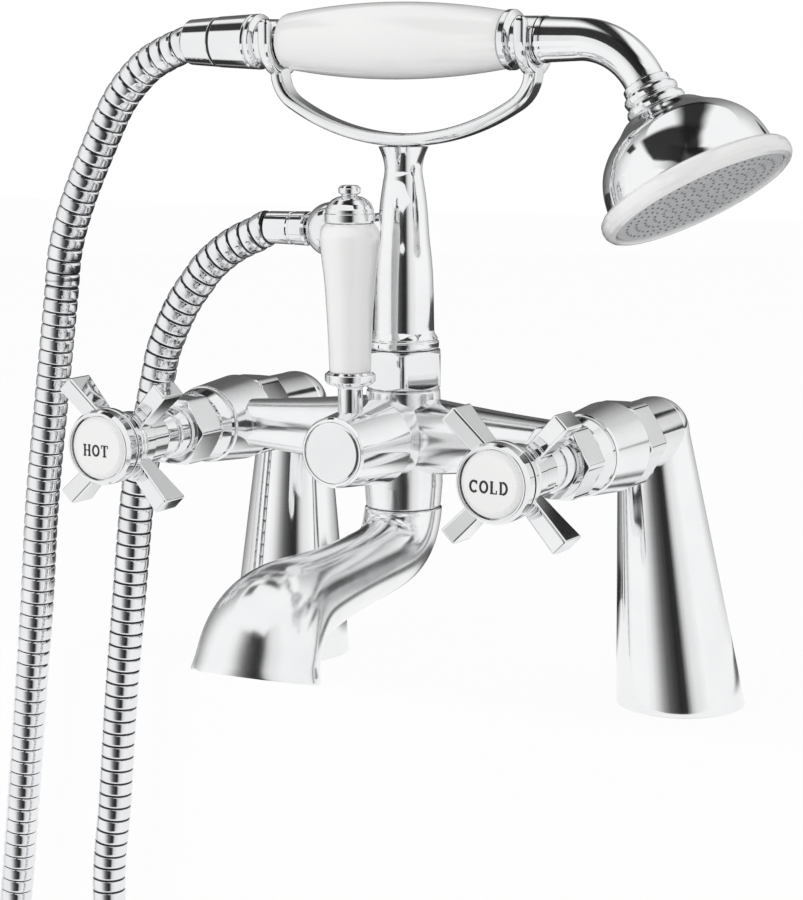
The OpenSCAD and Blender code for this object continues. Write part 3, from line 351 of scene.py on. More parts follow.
# legs
legSize = {
    "footX": 90, "elbowY": -10, "coneR": 25.17, "topR": 13.8, "coneTop": 109.3, "ballR": 13.74,
    "foot": [(0.6, 24.2), (0.3, 24.4), (0.3, 25.2, 0.8), (valveZ, 13.8)],
    "spigot": [(-45, 7), (-45, 10.4), (-35.5, 10.4), (-35.5, 13.6, 0.8), (-10, 13.6)],
}


def ballRows(r, steps=48):
    return [(-r * cos(pi * k / steps), max(r * sin(pi * k / steps), 0.02)) for k in range(steps + 1)]


for side, node in ((1, "leg_cold"), (-1, "leg_hot")):
    bm = bmesh.new()
    legRows = roundRows(legSize["foot"], 6)[:-1]
    for z in (*range(8, valveZ, 4), legSize["coneTop"]):
        legRows.append((z, legSize["coneR"] - (legSize["coneR"] - legSize["topR"]) * z / valveZ))
    rings = []
    for z, r in legRows:  # leans in and forward to the elbow
        cx = side * (legSize["footX"] - (legSize["footX"] - valveX) * z / valveZ)
        cy = legSize["elbowY"] * z / valveZ
        turn = [2 * pi * k / sides for k in range(sides)]
        rings.append([(cx + r * cos(a), cy + r * sin(a), z) for a in turn])
    addRings(bm, rings, capFirst=False)
    elbow = frameY(side * valveX, valveZ)
    addLathe(bm, elbow @ Matrix.Translation((0, 0, legSize["elbowY"])), ballRows(legSize["ballR"]))
    addLathe(bm, elbow, roundRows(legSize["spigot"]))
    makePiece("legShell" + ("Cold" if side > 0 else "Hot"), bm, softChrome, "stand", [node])
print("legs made")

# union nuts, bonnets and glands, a pair of each
unionSize = {"flats": 30, "from": -51.7, "to": -35.8}
bonnetSize = {"flats": 25, "from": -100, "to": -85}
collarSize = [(-85.4, 9), (-85.4, 12.6, 0.4), (-84, 13.2, 0.4), (-79.2, 14.4, 0.6), (-77, 14.5, 0.5),
              (-76.6, 9)]
glandSize = [(-113, 5.6), (-113, 7.4, 0.5), (-112, 7.8, 0.4), (-107, 8.5, 0.4), (-106, 8.2, 0.3),
             (-106, 9.0, 0.3), (-105.2, 9.4, 0.4), (-101.4, 10.1, 0.5), (-100, 9.7, 0.3), (-99.5, 5.6)]
unionRings, bonnetRings, glandRings = bmesh.new(), bmesh.new(), bmesh.new()
for side in (1, -1):
    place = frameY(side * valveX, valveZ)
    addHex(unionRings, place, unionSize["flats"], unionSize["from"], unionSize["to"])
    addHex(bonnetRings, place, bonnetSize["flats"], bonnetSize["from"], bonnetSize["to"])
    addLathe(bonnetRings, place, roundRows(collarSize))
    addLathe(glandRings, place, roundRows(glandSize), loop=True)
makePiece("unionNuts", unionRings, chrome, "stand", ["union_nuts"])
makePiece("bonnetNuts", bonnetRings, chrome, "stand", ["bonnets"])
makePiece("glandNuts", glandRings, chrome, "stand", ["gland_nuts"])

# body casting
bodySize = {
    "housing": [(-77, 10), (-77, 14.6, 0.5), (-76, 15.1, 0.5), (-53, 17, 0.8), (-52, 16.4, 0.5), (-52, 13),
                (-44, 13)],
    "arm": [(0, 16), (30, 12.6), (50, 10.7), (73, 9)],
    "barrel": [(89, 15), (110, 14.6), (125.2, 14, 0.6), (126, 13.2, 0.3), (126, 10), (135.4, 10)],
    "neck": [(80.6, 10.9), (80.6, 13.9, 0.3), (81.2, 14.25, 0.4), (90, 15), (96, 14.8)],
    "boss": [(-82, 11), (-82, 14.2, 0.3), (-81.4, 14.6, 0.4), (-62, 15.4)],
}
bm = bmesh.new()
for side in (1, -1):
    addLathe(bm, frameY(side * valveX, valveZ), roundRows(bodySize["housing"]))
    addLathe(bm, frameX(bodyY, valveZ) @ Matrix.Scale(side, 4, (0, 0, 1)), smoothRows(bodySize["arm"]))
addLathe(bm, frameZ(0, bodyY), roundRows(bodySize["barrel"]))
addLathe(bm, frameZ(0, bodyY), roundRows(bodySize["neck"]))
addLathe(bm, frameY(0, valveZ), roundRows(bodySize["boss"]))
makePiece("bodyCasting", bm, castChrome, "stand", ["mixer_body"])
print("body and valves made")

# cross handles
handleSize = {
    "hub": [(-114.5, 6), (-114.5, 9.2, 0.4), (-115.2, 9.6, 0.4), (-126.5, 10)],
    "armW": 7, "armY": -132, "rootR": 6, "hubR": 10, "tipR": 30.5, "rootT": 8, "tipT": 13, "swell": 1.15,
    "rootShare": 0.9, "edge": 0.9,
}
neckSize = [(-125.5, 9), (-125.5, 11.2, 0.3), (-131, 11.4)]
ribRows = [(-131.3, 11.1), (-131.7, 11.6), (-132.3, 11.8), (-132.9, 11.6)]
for k in range(3):
    neckSize += [(y - 2 * k, r) for y, r in ribRows]
neckSize += [(-137.3, 11.1), (-137.4, 5)]
rimSize = [(-137.5, 5.3), (-137.5, 12.9, 0.4), (-138.2, 13.3, 0.3), (-138.4, 14, 0.4), (-140.6, 14, 0.4),
           (-140.9, 13.3, 0.1), (-141.6, 13.3, 0.1), (-141.9, 14, 0.4), (-145.6, 14, 1.1), (-147.5, 13, 0.5),
           (-147.4, 12.1, 0.3), (-144.2, 12.0), (-144.2, 5.3)]
indexSize = [(-144.2, 3), (-144.2, 11.7), (-146.3, 11.7, 0.4), (-147.1, 9.6, 2.0), (-147.1, 0.02)]


def addArms(bm, x):
    root, hub, tip = handleSize["rootR"], handleSize["hubR"], handleSize["tipR"]
    stations = [root + (tip - root) * k / 12 for k in range(13)]
    for quarter in range(4):
        out = Vector((cos(pi / 4 + quarter * pi / 2), 0, sin(pi / 4 + quarter * pi / 2)))
        flat = Vector((-out.z, 0, out.x))
        rings = []
        for r in stations:
            s = max(r - hub, 0) / (tip - hub)
            gain = (handleSize["tipT"] - handleSize["rootT"]) * s ** handleSize["swell"]
            half = (handleSize["rootT"] + gain) / 2
            wide = handleSize["armW"] / 2 * (handleSize["rootShare"] + (1 - handleSize["rootShare"]) * s)
            mid = Vector((x, handleSize["armY"], valveZ)) + out * r
            rings.append([mid + flat * a * wide + Vector((0, b * half, 0))
                          for a, b in ((1, 1), (-1, 1), (-1, -1), (1, -1))])
        addRings(bm, rings)


for side, tag in ((-1, "hot"), (1, "cold")):
    body, place = tag + "_valve", frameY(side * valveX, valveZ)
    bm = bmesh.new()
    addArms(bm, side * valveX)
    arms = makePiece("crossArms" + tag.title(), bm, chrome, body, ["handle_" + tag], 30)
    softEdge = arms.modifiers.new("softEdge", "BEVEL")
    softEdge.width, softEdge.segments, softEdge.limit_method = handleSize["edge"] * mm, 4, "ANGLE"
    arms.modifiers.move(1, 0)
    bm = bmesh.new()
    addLathe(bm, place, roundRows(handleSize["hub"]))
    addLathe(bm, place, roundRows(neckSize))
    makePiece("crossHub" + tag.title(), bm, chrome, body, ["handle_" + tag])
    bm = bmesh.new()
    addLathe(bm, place, roundRows(rimSize), loop=True)
    makePiece("indexRim" + tag.title(), bm, chrome, body, ["index_rim_" + tag])
    bm = bmesh.new()
    addLathe(bm, place, roundRows(indexSize))
    makePiece("indexDisc" + tag.title(), bm, glaze, body, ["index_" + tag])

# plain block letters on the discs
letterShape = {"cap": 4.0, "gap": 0.16, "thick": 0.1, "thin": 0.05, "front": -147.16, "left": 0.9,
               "down": 1.0, "depth": 0.1}


def bend(cx, cy, rx, ry, a0, a1, n=20):
    angles = [radians(a0 + (a1 - a0) * k / n) for k in range(n + 1)]
    return [(cx + rx * cos(a), cy + ry * sin(a)) for a in angles]


glyphs = {  # width, thick strokes, thin strokes
    "H": (0.8, [[(0.15, 0), (0.15, 1)], [(0.65, 0), (0.65, 1)]],
          [[(0, 0), (0.3, 0)], [(0.5, 0), (0.8, 0)], [(0, 1), (0.3, 1)], [(0.5, 1), (0.8, 1)],
           [(0.15, 0.5), (0.65, 0.5)]]),
    "O": (0.84, [bend(0.42, 0.5, 0.33, 0.46, 0, 360, 36)], []),
    "T": (0.8, [[(0.4, 0), (0.4, 1)]],
          [[(0.22, 0), (0.58, 0)], [(0.02, 1), (0.78, 1)], [(0.06, 1), (0.06, 0.74)],
           [(0.74, 1), (0.74, 0.74)]]),
    "C": (0.78, [bend(0.43, 0.5, 0.34, 0.46, 45, 315, 30)], [[(0.7, 1), (0.7, 0.68)]]),
    "L": (0.7, [[(0.17, 0), (0.17, 1)]],
          [[(0.02, 1), (0.32, 1)], [(0.02, 0), (0.66, 0)], [(0.62, 0), (0.62, 0.28)]]),
    "D": (0.82, [[(0.17, 0), (0.17, 1)], bend(0.34, 0.5, 0.38, 0.49, 90, -90)],
          [[(0.02, 0), (0.36, 0)], [(0.02, 1), (0.36, 1)]]),
}


def addStroke(bm, pts, half, spot):
    left, right = [], []
    for i, p in enumerate(pts):
        a, b = Vector(pts[max(i - 1, 0)]), Vector(pts[min(i + 1, len(pts) - 1)])
        off = Vector((-(b - a).y, (b - a).x)).normalized() * half
        left.append(bm.verts.new(spot(Vector(p) + off)))
        right.append(bm.verts.new(spot(Vector(p) - off)))
    for i in range(len(pts) - 1):
        bm.faces.new((left[i], right[i], right[i + 1], left[i + 1]))


for word, side, tag in (("HOT", -1, "hot"), ("COLD", 1, "cold")):
    total = sum(glyphs[c][0] for c in word) + letterShape["gap"] * (len(word) - 1)
    at = -total / 2
    bm = bmesh.new()
    for c in word:
        def spot(p, at=at, side=side):
            x = side * valveX + (at + p.x) * letterShape["cap"] - letterShape["left"]
            z = valveZ + (p.y - 0.5) * letterShape["cap"] - letterShape["down"]
            return Vector((x, letterShape["front"], z))
        for pts in glyphs[c][1]:
            addStroke(bm, pts, letterShape["thick"], spot)
        for pts in glyphs[c][2]:
            addStroke(bm, pts, letterShape["thin"], spot)
        at += glyphs[c][0] + letterShape["gap"]
    word3d = makePiece("letters" + tag.title(), bm, enamel, tag + "_valve")
    word3d.modifiers.new("paintDepth", "SOLIDIFY").thickness = letterShape["depth"] * mm
print("handles made")

# diverter drum and lever
drumSize = [(-82.4, 8), (-82.4, 14.6, 0.5), (-84.2, 16, 0.8), (-114.4, 13.0, 0.7), (-115.4, 12.2, 0.4),
            (-115.4, 11.4, 0.2), (-113.5, 11.4), (-113.5, 3)]
coverSize = [(-113.5, 3), (-113.5, 11.3), (-115.2, 11.3, 0.4), (-115.6, 10.4, 0.6), (-115.6, 0.02)]
bm = bmesh.new()
addLathe(bm, frameY(0, valveZ), roundRows(drumSize))
makePiece("drumShell", bm, softChrome, "diverter", ["diverter_drum"])
bm = bmesh.new()
addLathe(bm, frameY(0, valveZ), roundRows(coverSize))
makePiece("drumCover", bm, chrome, "diverter", ["drum_cover"])

leverY = -101.9
stemSize = [(115, 4.6), (130.8, 4.6, 1.2), (132, 8.3, 0.3), (133, 9.3, 0.5), (135.4, 9.3, 0.5),
            (136.4, 8.2, 0.2), (136.4, 3), (196, 3)]
leverSize = [(136.5, 7.2), (137.6, 7.6), (147.3, 7.95), (158, 8.5), (169, 9.25), (177, 10.2), (184, 11),
             (186.8, 10.9), (188.9, 10.2), (190.4, 9.0)]
capSize = [(190.6, 4), (190.6, 8.9, 0.3), (191.4, 9.2, 0.3), (193.8, 9.2, 0.3), (194.1, 8.8, 0.2),
           (195.6, 8.8, 1.2), (197.4, 7.9, 2), (198.9, 6.4, 2), (199.8, 4.6, 1.5), (200.2, 2.9, 0.4),
           (200.2, 0.1)]
finialSize = [(200.2, 0.1), (200.2, 2.9, 0.2), (200.8, 3, 0.2), (201.2, 4.0, 0.3), (203, 4.1, 0.6),
              (203.9, 3.3, 0.5), (204.1, 2.2, 0.4), (204.1, 0.02)]
for name, rows, mat, node, slot in (
        ("leverStem", roundRows(stemSize), chrome, "lever_stem", "chrome"),
        ("leverGrip", smoothRows(leverSize), glaze, "lever_grip", "white_ceramic"),
        ("leverCap", roundRows(capSize), chrome, "lever_cap", "chrome"),
        ("leverFinial", roundRows(finialSize), chrome, "lever_finial", "chrome")):
    bm = bmesh.new()
    addLathe(bm, frameZ(0, leverY), rows)
    makePiece(name, bm, mat, "diverter", [node])
print("diverter made")

# spout, a loft of rings: y, z, fall below level, radius
spoutSize = {
    "top": [(80.4, 14.1), (80.2, 14.5), (79.95, 14.8)],
    "lip": 14.8, "bend": 16.8, "bendZ": 79.7, "bendSteps": 16,
    "fall": 4.6, "runR": 13.2, "runLen": 62.7, "runSwell": 3.2, "runSteps": 24,
    "rho": 7.1, "r0": 16.5, "r1": 21.8, "turn": 75, "turnY": -138.058, "turnZ": 34.402, "turnSwell": 1.5,
    "turnSteps": 24, "rim": [(-166.7, 39.0, 22.4), (-167.3, 36.9, 22.9), (-167.5, 36.25, 22.6)],
    "wall": 2.3, "smoothing": 24, "heldRows": 4,
}
fall, turnEnd = spoutSize["fall"], spoutSize["turn"]
spoutRows = [(bodyY, z, 90, r) for z, r in spoutSize["top"]]
for k in range(spoutSize["bendSteps"] + 1):
    s = k / spoutSize["bendSteps"]
    a = 90 - (90 - fall) * s
    y = bodyY - spoutSize["bend"] * (1 - sin(radians(a)))
    z = spoutSize["bendZ"] - spoutSize["bend"] * cos(radians(a))
    spoutRows.append((y, z, a, spoutSize["lip"] + (spoutSize["runR"] - spoutSize["lip"]) * s ** 2))
runY, runZ = spoutRows[-1][:2]
for k in range(1, spoutSize["runSteps"]):
    s = k / spoutSize["runSteps"]
    d = spoutSize["runLen"] * s
    r = spoutSize["runR"] + (spoutSize["r0"] - spoutSize["runR"]) * s ** spoutSize["runSwell"]
    spoutRows.append((runY - d * cos(radians(fall)), runZ - d * sin(radians(fall)), fall, r))
for k in range(spoutSize["turnSteps"] + 1):
    s = k / spoutSize["turnSteps"]
    a = fall + (turnEnd - fall) * s
    r = spoutSize["r0"] + (spoutSize["r1"] - spoutSize["r0"]) * sin(pi / 2 * s) ** spoutSize["turnSwell"]
    reach = spoutSize["rho"] + r
    y, z = spoutSize["turnY"] - reach * sin(radians(a)), spoutSize["turnZ"] + reach * cos(radians(a))
    spoutRows.append((y, z, a, r))
spoutRows += [(y, z, turnEnd, r) for y, z, r in spoutSize["rim"]]
for _ in range(spoutSize["smoothing"]):  # even out the swell
    kept = spoutRows[:]
    for k in range(spoutSize["heldRows"], len(kept) - spoutSize["heldRows"]):
        near = zip(kept[k - 1], kept[k], kept[k + 1])
        spoutRows[k] = tuple((a + 2 * b + c) / 4 for a, b, c in near)


def spoutRing(row, r):
    y, z, dip = row[:3]
    f = radians(dip)
    turn = [2 * pi * k / sides for k in range(sides)]
    return [(r * cos(b), y - r * sin(b) * sin(f), z + r * sin(b) * cos(f)) for b in turn]


bm = bmesh.new()
outside = [spoutRing(row, row[3]) for row in spoutRows]
inside = [spoutRing(row, row[3] - spoutSize["wall"]) for row in reversed(spoutRows)]
addRings(bm, outside + inside, loop=True)
makePiece("spoutShell", bm, castChrome, "stand", ["spout"], 50)

# pillar: nut, post, cradle, outlet ball
pillarSize = {"flats": 28, "from": 126.2, "to": 140.8, "twist": radians(-61)}
bm = bmesh.new()
addHex(bm, frameZ(0, bodyY), pillarSize["flats"], pillarSize["from"], pillarSize["to"], pillarSize["twist"])
makePiece("pillarNut", bm, chrome, "stand", ["pillar_nut"])

postSize = {
    "foot": [(136, 7.5), (140.9, 8), (140.9, 12.5, 0.3), (141.6, 13.5, 0.7), (143.8, 13.5, 0.7),
             (144.4, 12.7, 0.2), (145.0, 13.1, 0.3), (147, 11.75, 0.4)],
    "rise": [(147, 11.7), (158, 11.5), (168, 11.2), (176, 10.6), (183, 9.8), (195, 8.9), (203, 7.8),
             (207, 7.15), (210, 7.2), (213.5, 8), (216.9, 9.4)],
    "branch": [(-26, 6.4), (-25.5, 6.8), (-23, 6.5), (-12, 6.7), (-9, 7.4), (-4, 7.6)],
}
bm = bmesh.new()
addLathe(bm, frameZ(0, bodyY), roundRows(postSize["foot"]) + smoothRows(postSize["rise"])[1:])
addLathe(bm, frameX(bodyY, outletZ), smoothRows(postSize["branch"]))
makePiece("pillarPost", bm, softChrome, "stand", ["cradle_post"])

cradleSize = {
    "bowZ": 309.4, "bowR": 90, "half": 31.76, "bowSteps": 64, "thick": 4.8, "wide": 9.2, "round": 2.2,
    "kneeX": 40, "kneeZ": 244.78, "kneeR": 14, "kneeFrom": 4, "kneeSweep": 62, "kneeSteps": 8,
    "endRows": 9, "endMore": 0.4,
    "forkX": 54, "forkR": 11.1, "forkT": 4.4, "forkW": 5, "forkRound": 1.7, "forkSteps": 28,
    "prongZ": 262, "prong": [(0, 1), (0.9, 0.94), (1.6, 0.76), (2.1, 0.42), (2.2, 0.1)],  # rise, scale
}


def kneePoint(side, k):
    a = radians(cradleSize["kneeFrom"] - cradleSize["kneeSweep"] * k / cradleSize["kneeSteps"])
    x = side * (cradleSize["kneeX"] + cradleSize["kneeR"] * cos(a))
    return Vector((x, bodyY, cradleSize["kneeZ"] + cradleSize["kneeR"] * sin(a)))


def bowSection(i):
    ends = cradleSize["endRows"]
    more = cradleSize["endMore"] * max(0, ends - min(i, len(bow) - 1 - i)) / ends
    return roundRect(cradleSize["thick"] + more, cradleSize["wide"] + more, cradleSize["round"])


def forkSection(i):
    section = roundRect(cradleSize["forkT"], cradleSize["forkW"], cradleSize["forkRound"])
    return [(a * scales[i], b * scales[i]) for a, b in section]


bow = [kneePoint(-1, k) for k in range(cradleSize["kneeSteps"])]
for k in range(cradleSize["bowSteps"] + 1):
    a = radians(-cradleSize["half"] + 2 * cradleSize["half"] * k / cradleSize["bowSteps"])
    bow.append(Vector((cradleSize["bowR"] * sin(a), bodyY, cradleSize["bowZ"] - cradleSize["bowR"] * cos(a))))
bow += [kneePoint(1, k) for k in reversed(range(cradleSize["kneeSteps"]))]
bm = bmesh.new()
addSweep(bm, bow, Vector((0, 1, 0)), bowSection)
prong, forkR = cradleSize["prong"], cradleSize["forkR"]
forkTurn = [pi * k / cradleSize["forkSteps"] for k in range(cradleSize["forkSteps"] + 1)]
scales = [s for d, s in reversed(prong)] + [1] * len(forkTurn) + [s for d, s in prong]
for side in (1, -1):
    x = side * cradleSize["forkX"]
    loop = [Vector((x, bodyY - forkR, cradleSize["prongZ"] + d)) for d, s in reversed(prong)]
    loop += [Vector((x, bodyY - forkR * cos(a), handZ - forkR * sin(a))) for a in forkTurn]
    loop += [Vector((x, bodyY + forkR, cradleSize["prongZ"] + d)) for d, s in prong]
    addSweep(bm, loop, Vector((1, 0, 0)), forkSection)
makePiece("cradleBow", bm, chrome, "stand", ["cradle"])

ballSize = {"x": -31, "r": 10.5, "tube": [(-45, 4.9), (-36, 4.9)]}
bm = bmesh.new()
outletX = frameX(bodyY, outletZ)
addLathe(bm, outletX @ Matrix.Translation((0, 0, ballSize["x"])), ballRows(ballSize["r"]))
addLathe(bm, outletX, ballSize["tube"])
makePiece("outletBall", bm, chrome, "stand", ["outlet_ball"])
print("spout and pillar made")

# handset
rearSize = [(-65, 7), (-65, 10.2, 0.4), (-64.2, 10.6, 0.4), (-62.5, 10.6, 0.6), (-61, 8.6, 0.8),
            (-53, 8.4, 0.4), (-51, 8.6), (-51, 7)]
gripSize = {"x0": -50.8, "x1": 43.4, "end": 10.4, "mid": 14.3, "rows": 30,
            "lip": [(0, 7), (0, 9.7), (0.25, 10.2)]}  # in from the end, radius
frontSize = [(43.5, 7), (43.5, 10.2, 0.3), (44.3, 11, 0.5), (46.5, 11, 0.5), (48, 8.6, 0.8), (56.9, 8.5),
             (56.9, 7)]
armSize = {
    "collar": [(57.1, 8.2), (57.4, 8.5), (59.2, 8.5), (59.6, 8.25)],
    "x0": 60, "x1": 72.1, "r0": 8.2, "r1": 7.7, "bend": 30, "turn": 60, "bendR": 7.65, "tipR": 7.4,
    "end": (98.08, -15), "way": (0.5, -0.866), "endR": 7.3, "roll": -5, "roseTurn": 150,
}
roll = Matrix.Translation((0, bodyY, handZ)) @ Matrix.Rotation(radians(armSize["roll"]), 4, "X")
armEnd = Matrix.Translation((armSize["end"][0], 0, armSize["end"][1]))
roseFrame = roll @ armEnd @ Matrix.Rotation(radians(armSize["roseTurn"]), 4, "Y")
handX = frameX(bodyY, handZ)
bm = bmesh.new()
addLathe(bm, handX, roundRows(rearSize), loop=True)
makePiece("rearCollar", bm, chrome, "handset", ["rear_collar"])
bm = bmesh.new()
addLathe(bm, handX, roundRows(frontSize), loop=True)
makePiece("frontCollar", bm, chrome, "handset", ["front_collar"])
half, rise = (gripSize["x1"] - gripSize["x0"]) / 2, gripSize["mid"] - gripSize["end"]
big = (half * half + rise * rise) / (2 * rise)
middle = (gripSize["x0"] + gripSize["x1"]) / 2
gripRows = [(gripSize["x0"] + d, r) for d, r in gripSize["lip"]]
for k in range(1 - gripSize["rows"], gripSize["rows"]):  # one arc from end to end
    d = half * k / gripSize["rows"]
    gripRows.append((middle + d, gripSize["mid"] - big + sqrt(big * big - d ** 2)))
gripRows += [(gripSize["x1"] - d, r) for d, r in reversed(gripSize["lip"])]
bm = bmesh.new()
addLathe(bm, handX, gripRows, loop=True)
makePiece("gripBarrel", bm, glaze, "handset", ["grip"])

armLine = [(x, 0, r) for x, r in armSize["collar"]]  # x, z, radius
for k in range(11):
    x = armSize["x0"] + (armSize["x1"] - armSize["x0"]) * k / 10
    armLine.append((x, 0, armSize["r0"] + (armSize["r1"] - armSize["r0"]) * k / 10))
for a in range(3, armSize["turn"] + 1, 3):
    x = armSize["x1"] + armSize["bend"] * sin(radians(a))
    r = armSize["bendR"] + (armSize["tipR"] - armSize["bendR"]) * a / armSize["turn"]
    armLine.append((x, armSize["bend"] * (cos(radians(a)) - 1), r))
for d in (1, 3):
    x, z = (at + step * d for at, step in zip(armSize["end"], armSize["way"]))
    armLine.append((x, z, armSize["endR"]))
armMid = [roll @ Vector((x, 0, z)) for x, z, r in armLine]
armRound = [2 * pi * k / sides for k in range(sides)]
bm = bmesh.new()
addSweep(bm, armMid, (roll.to_3x3() @ Vector((0, 1, 0))).normalized(),
         lambda i: [(armLine[i][2] * cos(a), armLine[i][2] * sin(a)) for a in armRound])
makePiece("handsetArm", bm, softChrome, "handset", ["handset_arm"])

roseNutSize = [(0.3, 6), (0.3, 7.7, 0.3), (0.9, 8.6, 0.4), (2.9, 8.6, 0.5), (3.5, 8.1, 0.3), (4.2, 9.6, 0.4),
               (5.2, 10.1, 0.6), (6.9, 9.7, 0.5), (7.5, 8.9, 0.3), (8.5, 10.5, 0.4), (9.7, 11, 0.6),
               (11.2, 10.6, 0.5), (11.9, 9.8, 0.2), (11.9, 6)]
bellSize = [(12, 11.2), (12.4, 12.5), (13.2, 14), (16.2, 17.6), (20, 22.9), (25, 27.3), (30.5, 29.9),
            (36, 31.1), (41.5, 31.5)]
bellInside = [(41.5, 29.2), (36, 28.9), (30, 27.2), (25, 24), (20, 19), (15, 6.2), (12, 6.2)]
ringSize = [(39.5, 31.7), (39.5, 32.3, 0.3), (40.3, 34.4, 1), (41.5, 35.6, 1), (43.3, 36, 1.2),
            (45.1, 35.8, 1), (46.7, 34.8, 1), (47.5, 33.4, 0.6), (47.5, 32.6, 0.4), (46.8, 32.1),
            (44.4, 32.1), (44.4, 29.2), (41.6, 29.2), (41.6, 31.7)]
plateSize = [(44.5, 0.02), (44.5, 31.9), (46.0, 31.9, 0.3), (46.5, 31.2, 0.3), (46.5, 0.02)]
nozzleSize = {"rows": [(46.3, 0.55), (46.7, 0.5), (46.85, 0.4), (46.8, 0.25), (46.5, 0.2)],
              "rings": 8, "pitch": 3.5, "perRing": 6, "twist": 0.13}
for name, rows, mat, node, slot in (
        ("roseNut", roundRows(roseNutSize), chrome, "rose_nut", "chrome"),
        ("roseBell", smoothRows(bellSize) + bellInside, softChrome, "rose_bell", "chrome"),
        ("roseRing", roundRows(ringSize), glaze, "rose_ring", "white_ceramic")):
    bm = bmesh.new()
    addLathe(bm, roseFrame, rows, loop=True)
    makePiece(name, bm, mat, "handset", [node])
bm = bmesh.new()
addLathe(bm, roseFrame, roundRows(plateSize))
plain = len(bm.faces)
for ring in range(1, nozzleSize["rings"] + 1):
    count, reach = nozzleSize["perRing"] * ring, nozzleSize["pitch"] * ring
    for k in range(count):
        a = 2 * pi * k / count + nozzleSize["twist"] * ring
        shift = Matrix.Translation((reach * cos(a), reach * sin(a), 0))
        addLathe(bm, roseFrame @ shift, nozzleSize["rows"], around=12)
bm.faces.ensure_lookup_table()
# the nozzles take the painted hole shade
for face in bm.faces[plain:]:
    face.material_index = 1
makePiece("sprayFace", bm, [plateGrey, nozzleShadeGrey], "handset", ["spray_plate"])
print("handset made")

# finishes for the nodes that stay as they are
carried = {
    "deck_washers": rubber, "backnut_washers": rubber, "union_washers": rubber, "bonnet_seals": rubber,
    "diverter_seal": rubber, "spout_seal": rubber, "post_seal": rubber, "outlet_washer": rubber,
    "handset_washer": rubber,
    "tails": brass, "backnuts": brass, "spindle_hot": brass, "spindle_cold": brass, "diverter_gland": brass,
    "diverter_spindle": brass, "spout_nipple": brass, "handset_core": brass,
    "fixed_discs": lapped, "moving_disc_hot": lapped, "moving_disc_cold": lapped, "diverter_seat": lapped,
    "diverter_plate": lapped,
    "handle_screw_hot": steel, "handle_screw_cold": steel, "drum_screw": steel, "cradle_screw": steel,
}
for name, mat in carried.items():
    nodes[name].data.materials.clear()
    nodes[name].data.materials.append(mat)

# bath edge under the legs, pale and plain
edgeSize = {"front": -0.042, "back": 3.0, "half": 4.0, "drop": -1.6, "top": -0.0002, "round": 0.006}
bm = bmesh.new()
roundY, roundZ = edgeSize["front"] + edgeSize["round"], edgeSize["top"] - edgeSize["round"]
outline = [(edgeSize["back"], edgeSize["top"]), (roundY, edgeSize["top"])]
for a in range(10, 91, 10):
    y, z = roundY - edgeSize["round"] * sin(radians(a)), roundZ + edgeSize["round"] * cos(radians(a))
    outline.append((y, z))
outline += [(edgeSize["front"], edgeSize["drop"])]
columns = [[bm.verts.new((x, y, z)) for y, z in outline] for x in (-edgeSize["half"], edgeSize["half"])]
for k in range(len(outline) - 1):
    bm.faces.new((columns[0][k], columns[1][k], columns[1][k + 1], columns[0][k + 1]))
mesh = bpy.data.meshes.new("bathEdge")
bm.to_mesh(mesh)
bm.free()
mesh.shade_smooth()
bathEdge = bpy.data.objects.new("bathEdge", mesh)
scene.collection.objects.link(bathEdge)


def seenWhite(tree):  # 1 for camera, glossy and transmission rays
    path = tree.nodes.new("ShaderNodeLightPath")
    first, second = tree.nodes.new("ShaderNodeMath"), tree.nodes.new("ShaderNodeMath")
    first.operation = second.operation = "MAXIMUM"
    tree.links.new(path.outputs["Is Camera Ray"], first.inputs[0])
    tree.links.new(path.outputs["Is Glossy Ray"], first.inputs[1])
    tree.links.new(first.outputs["Value"], second.inputs[0])
    tree.links.new(path.outputs["Is Transmission Ray"], second.inputs[1])
    return second.outputs["Value"]


floorTone = {"dark": (0.86, 0.86, 0.86), "light": (0.9, 0.9, 0.9), "grain": 8, "lift": 0.95}
floorMat, tree, bsdf = newMaterial("paleFloor", Roughness=0.6)
tone = tint(tree, grain(tree, floorTone["grain"], 0, 1), floorTone["dark"], floorTone["light"])
tree.links.new(tone, bsdf.inputs["Base Color"])
glow = tree.nodes.new("ShaderNodeEmission")
lift = tree.nodes.new("ShaderNodeMath")  # the rest keeps the shadow
lift.operation = "MULTIPLY"
lift.inputs[1].default_value = floorTone["lift"]
mixer = tree.nodes.new("ShaderNodeMixShader")
tree.links.new(seenWhite(tree), lift.inputs[0])
tree.links.new(lift.outputs["Value"], mixer.inputs["Fac"])
tree.links.new(bsdf.outputs["BSDF"], mixer.inputs[1])
tree.links.new(glow.outputs["Emission"], mixer.inputs[2])
tree.links.new(mixer.outputs["Shader"], tree.nodes["Material Output"].inputs["Surface"])
mesh.materials.append(floorMat)

roomLight = {"soft": 0.75, "shown": 1.0}  # on the object, and as background
world = bpy.data.worlds.new("studioWorld")
scene.world = world
world.use_nodes = True
tree = world.node_tree
room = tree.nodes["Background"]
room.inputs["Color"].default_value = (1, 1, 1, 1)
room.inputs["Strength"].default_value = roomLight["soft"]
shown = tree.nodes.new("ShaderNodeBackground")
shown.inputs["Color"].default_value = (1, 1, 1, 1)
shown.inputs["Strength"].default_value = roomLight["shown"]
mixer = tree.nodes.new("ShaderNodeMixShader")
tree.links.new(seenWhite(tree), mixer.inputs["Fac"])
tree.links.new(room.outputs["Background"], mixer.inputs[1])
tree.links.new(shown.outputs["Background"], mixer.inputs[2])
tree.links.new(mixer.outputs["Shader"], tree.nodes["World Output"].inputs["Surface"])

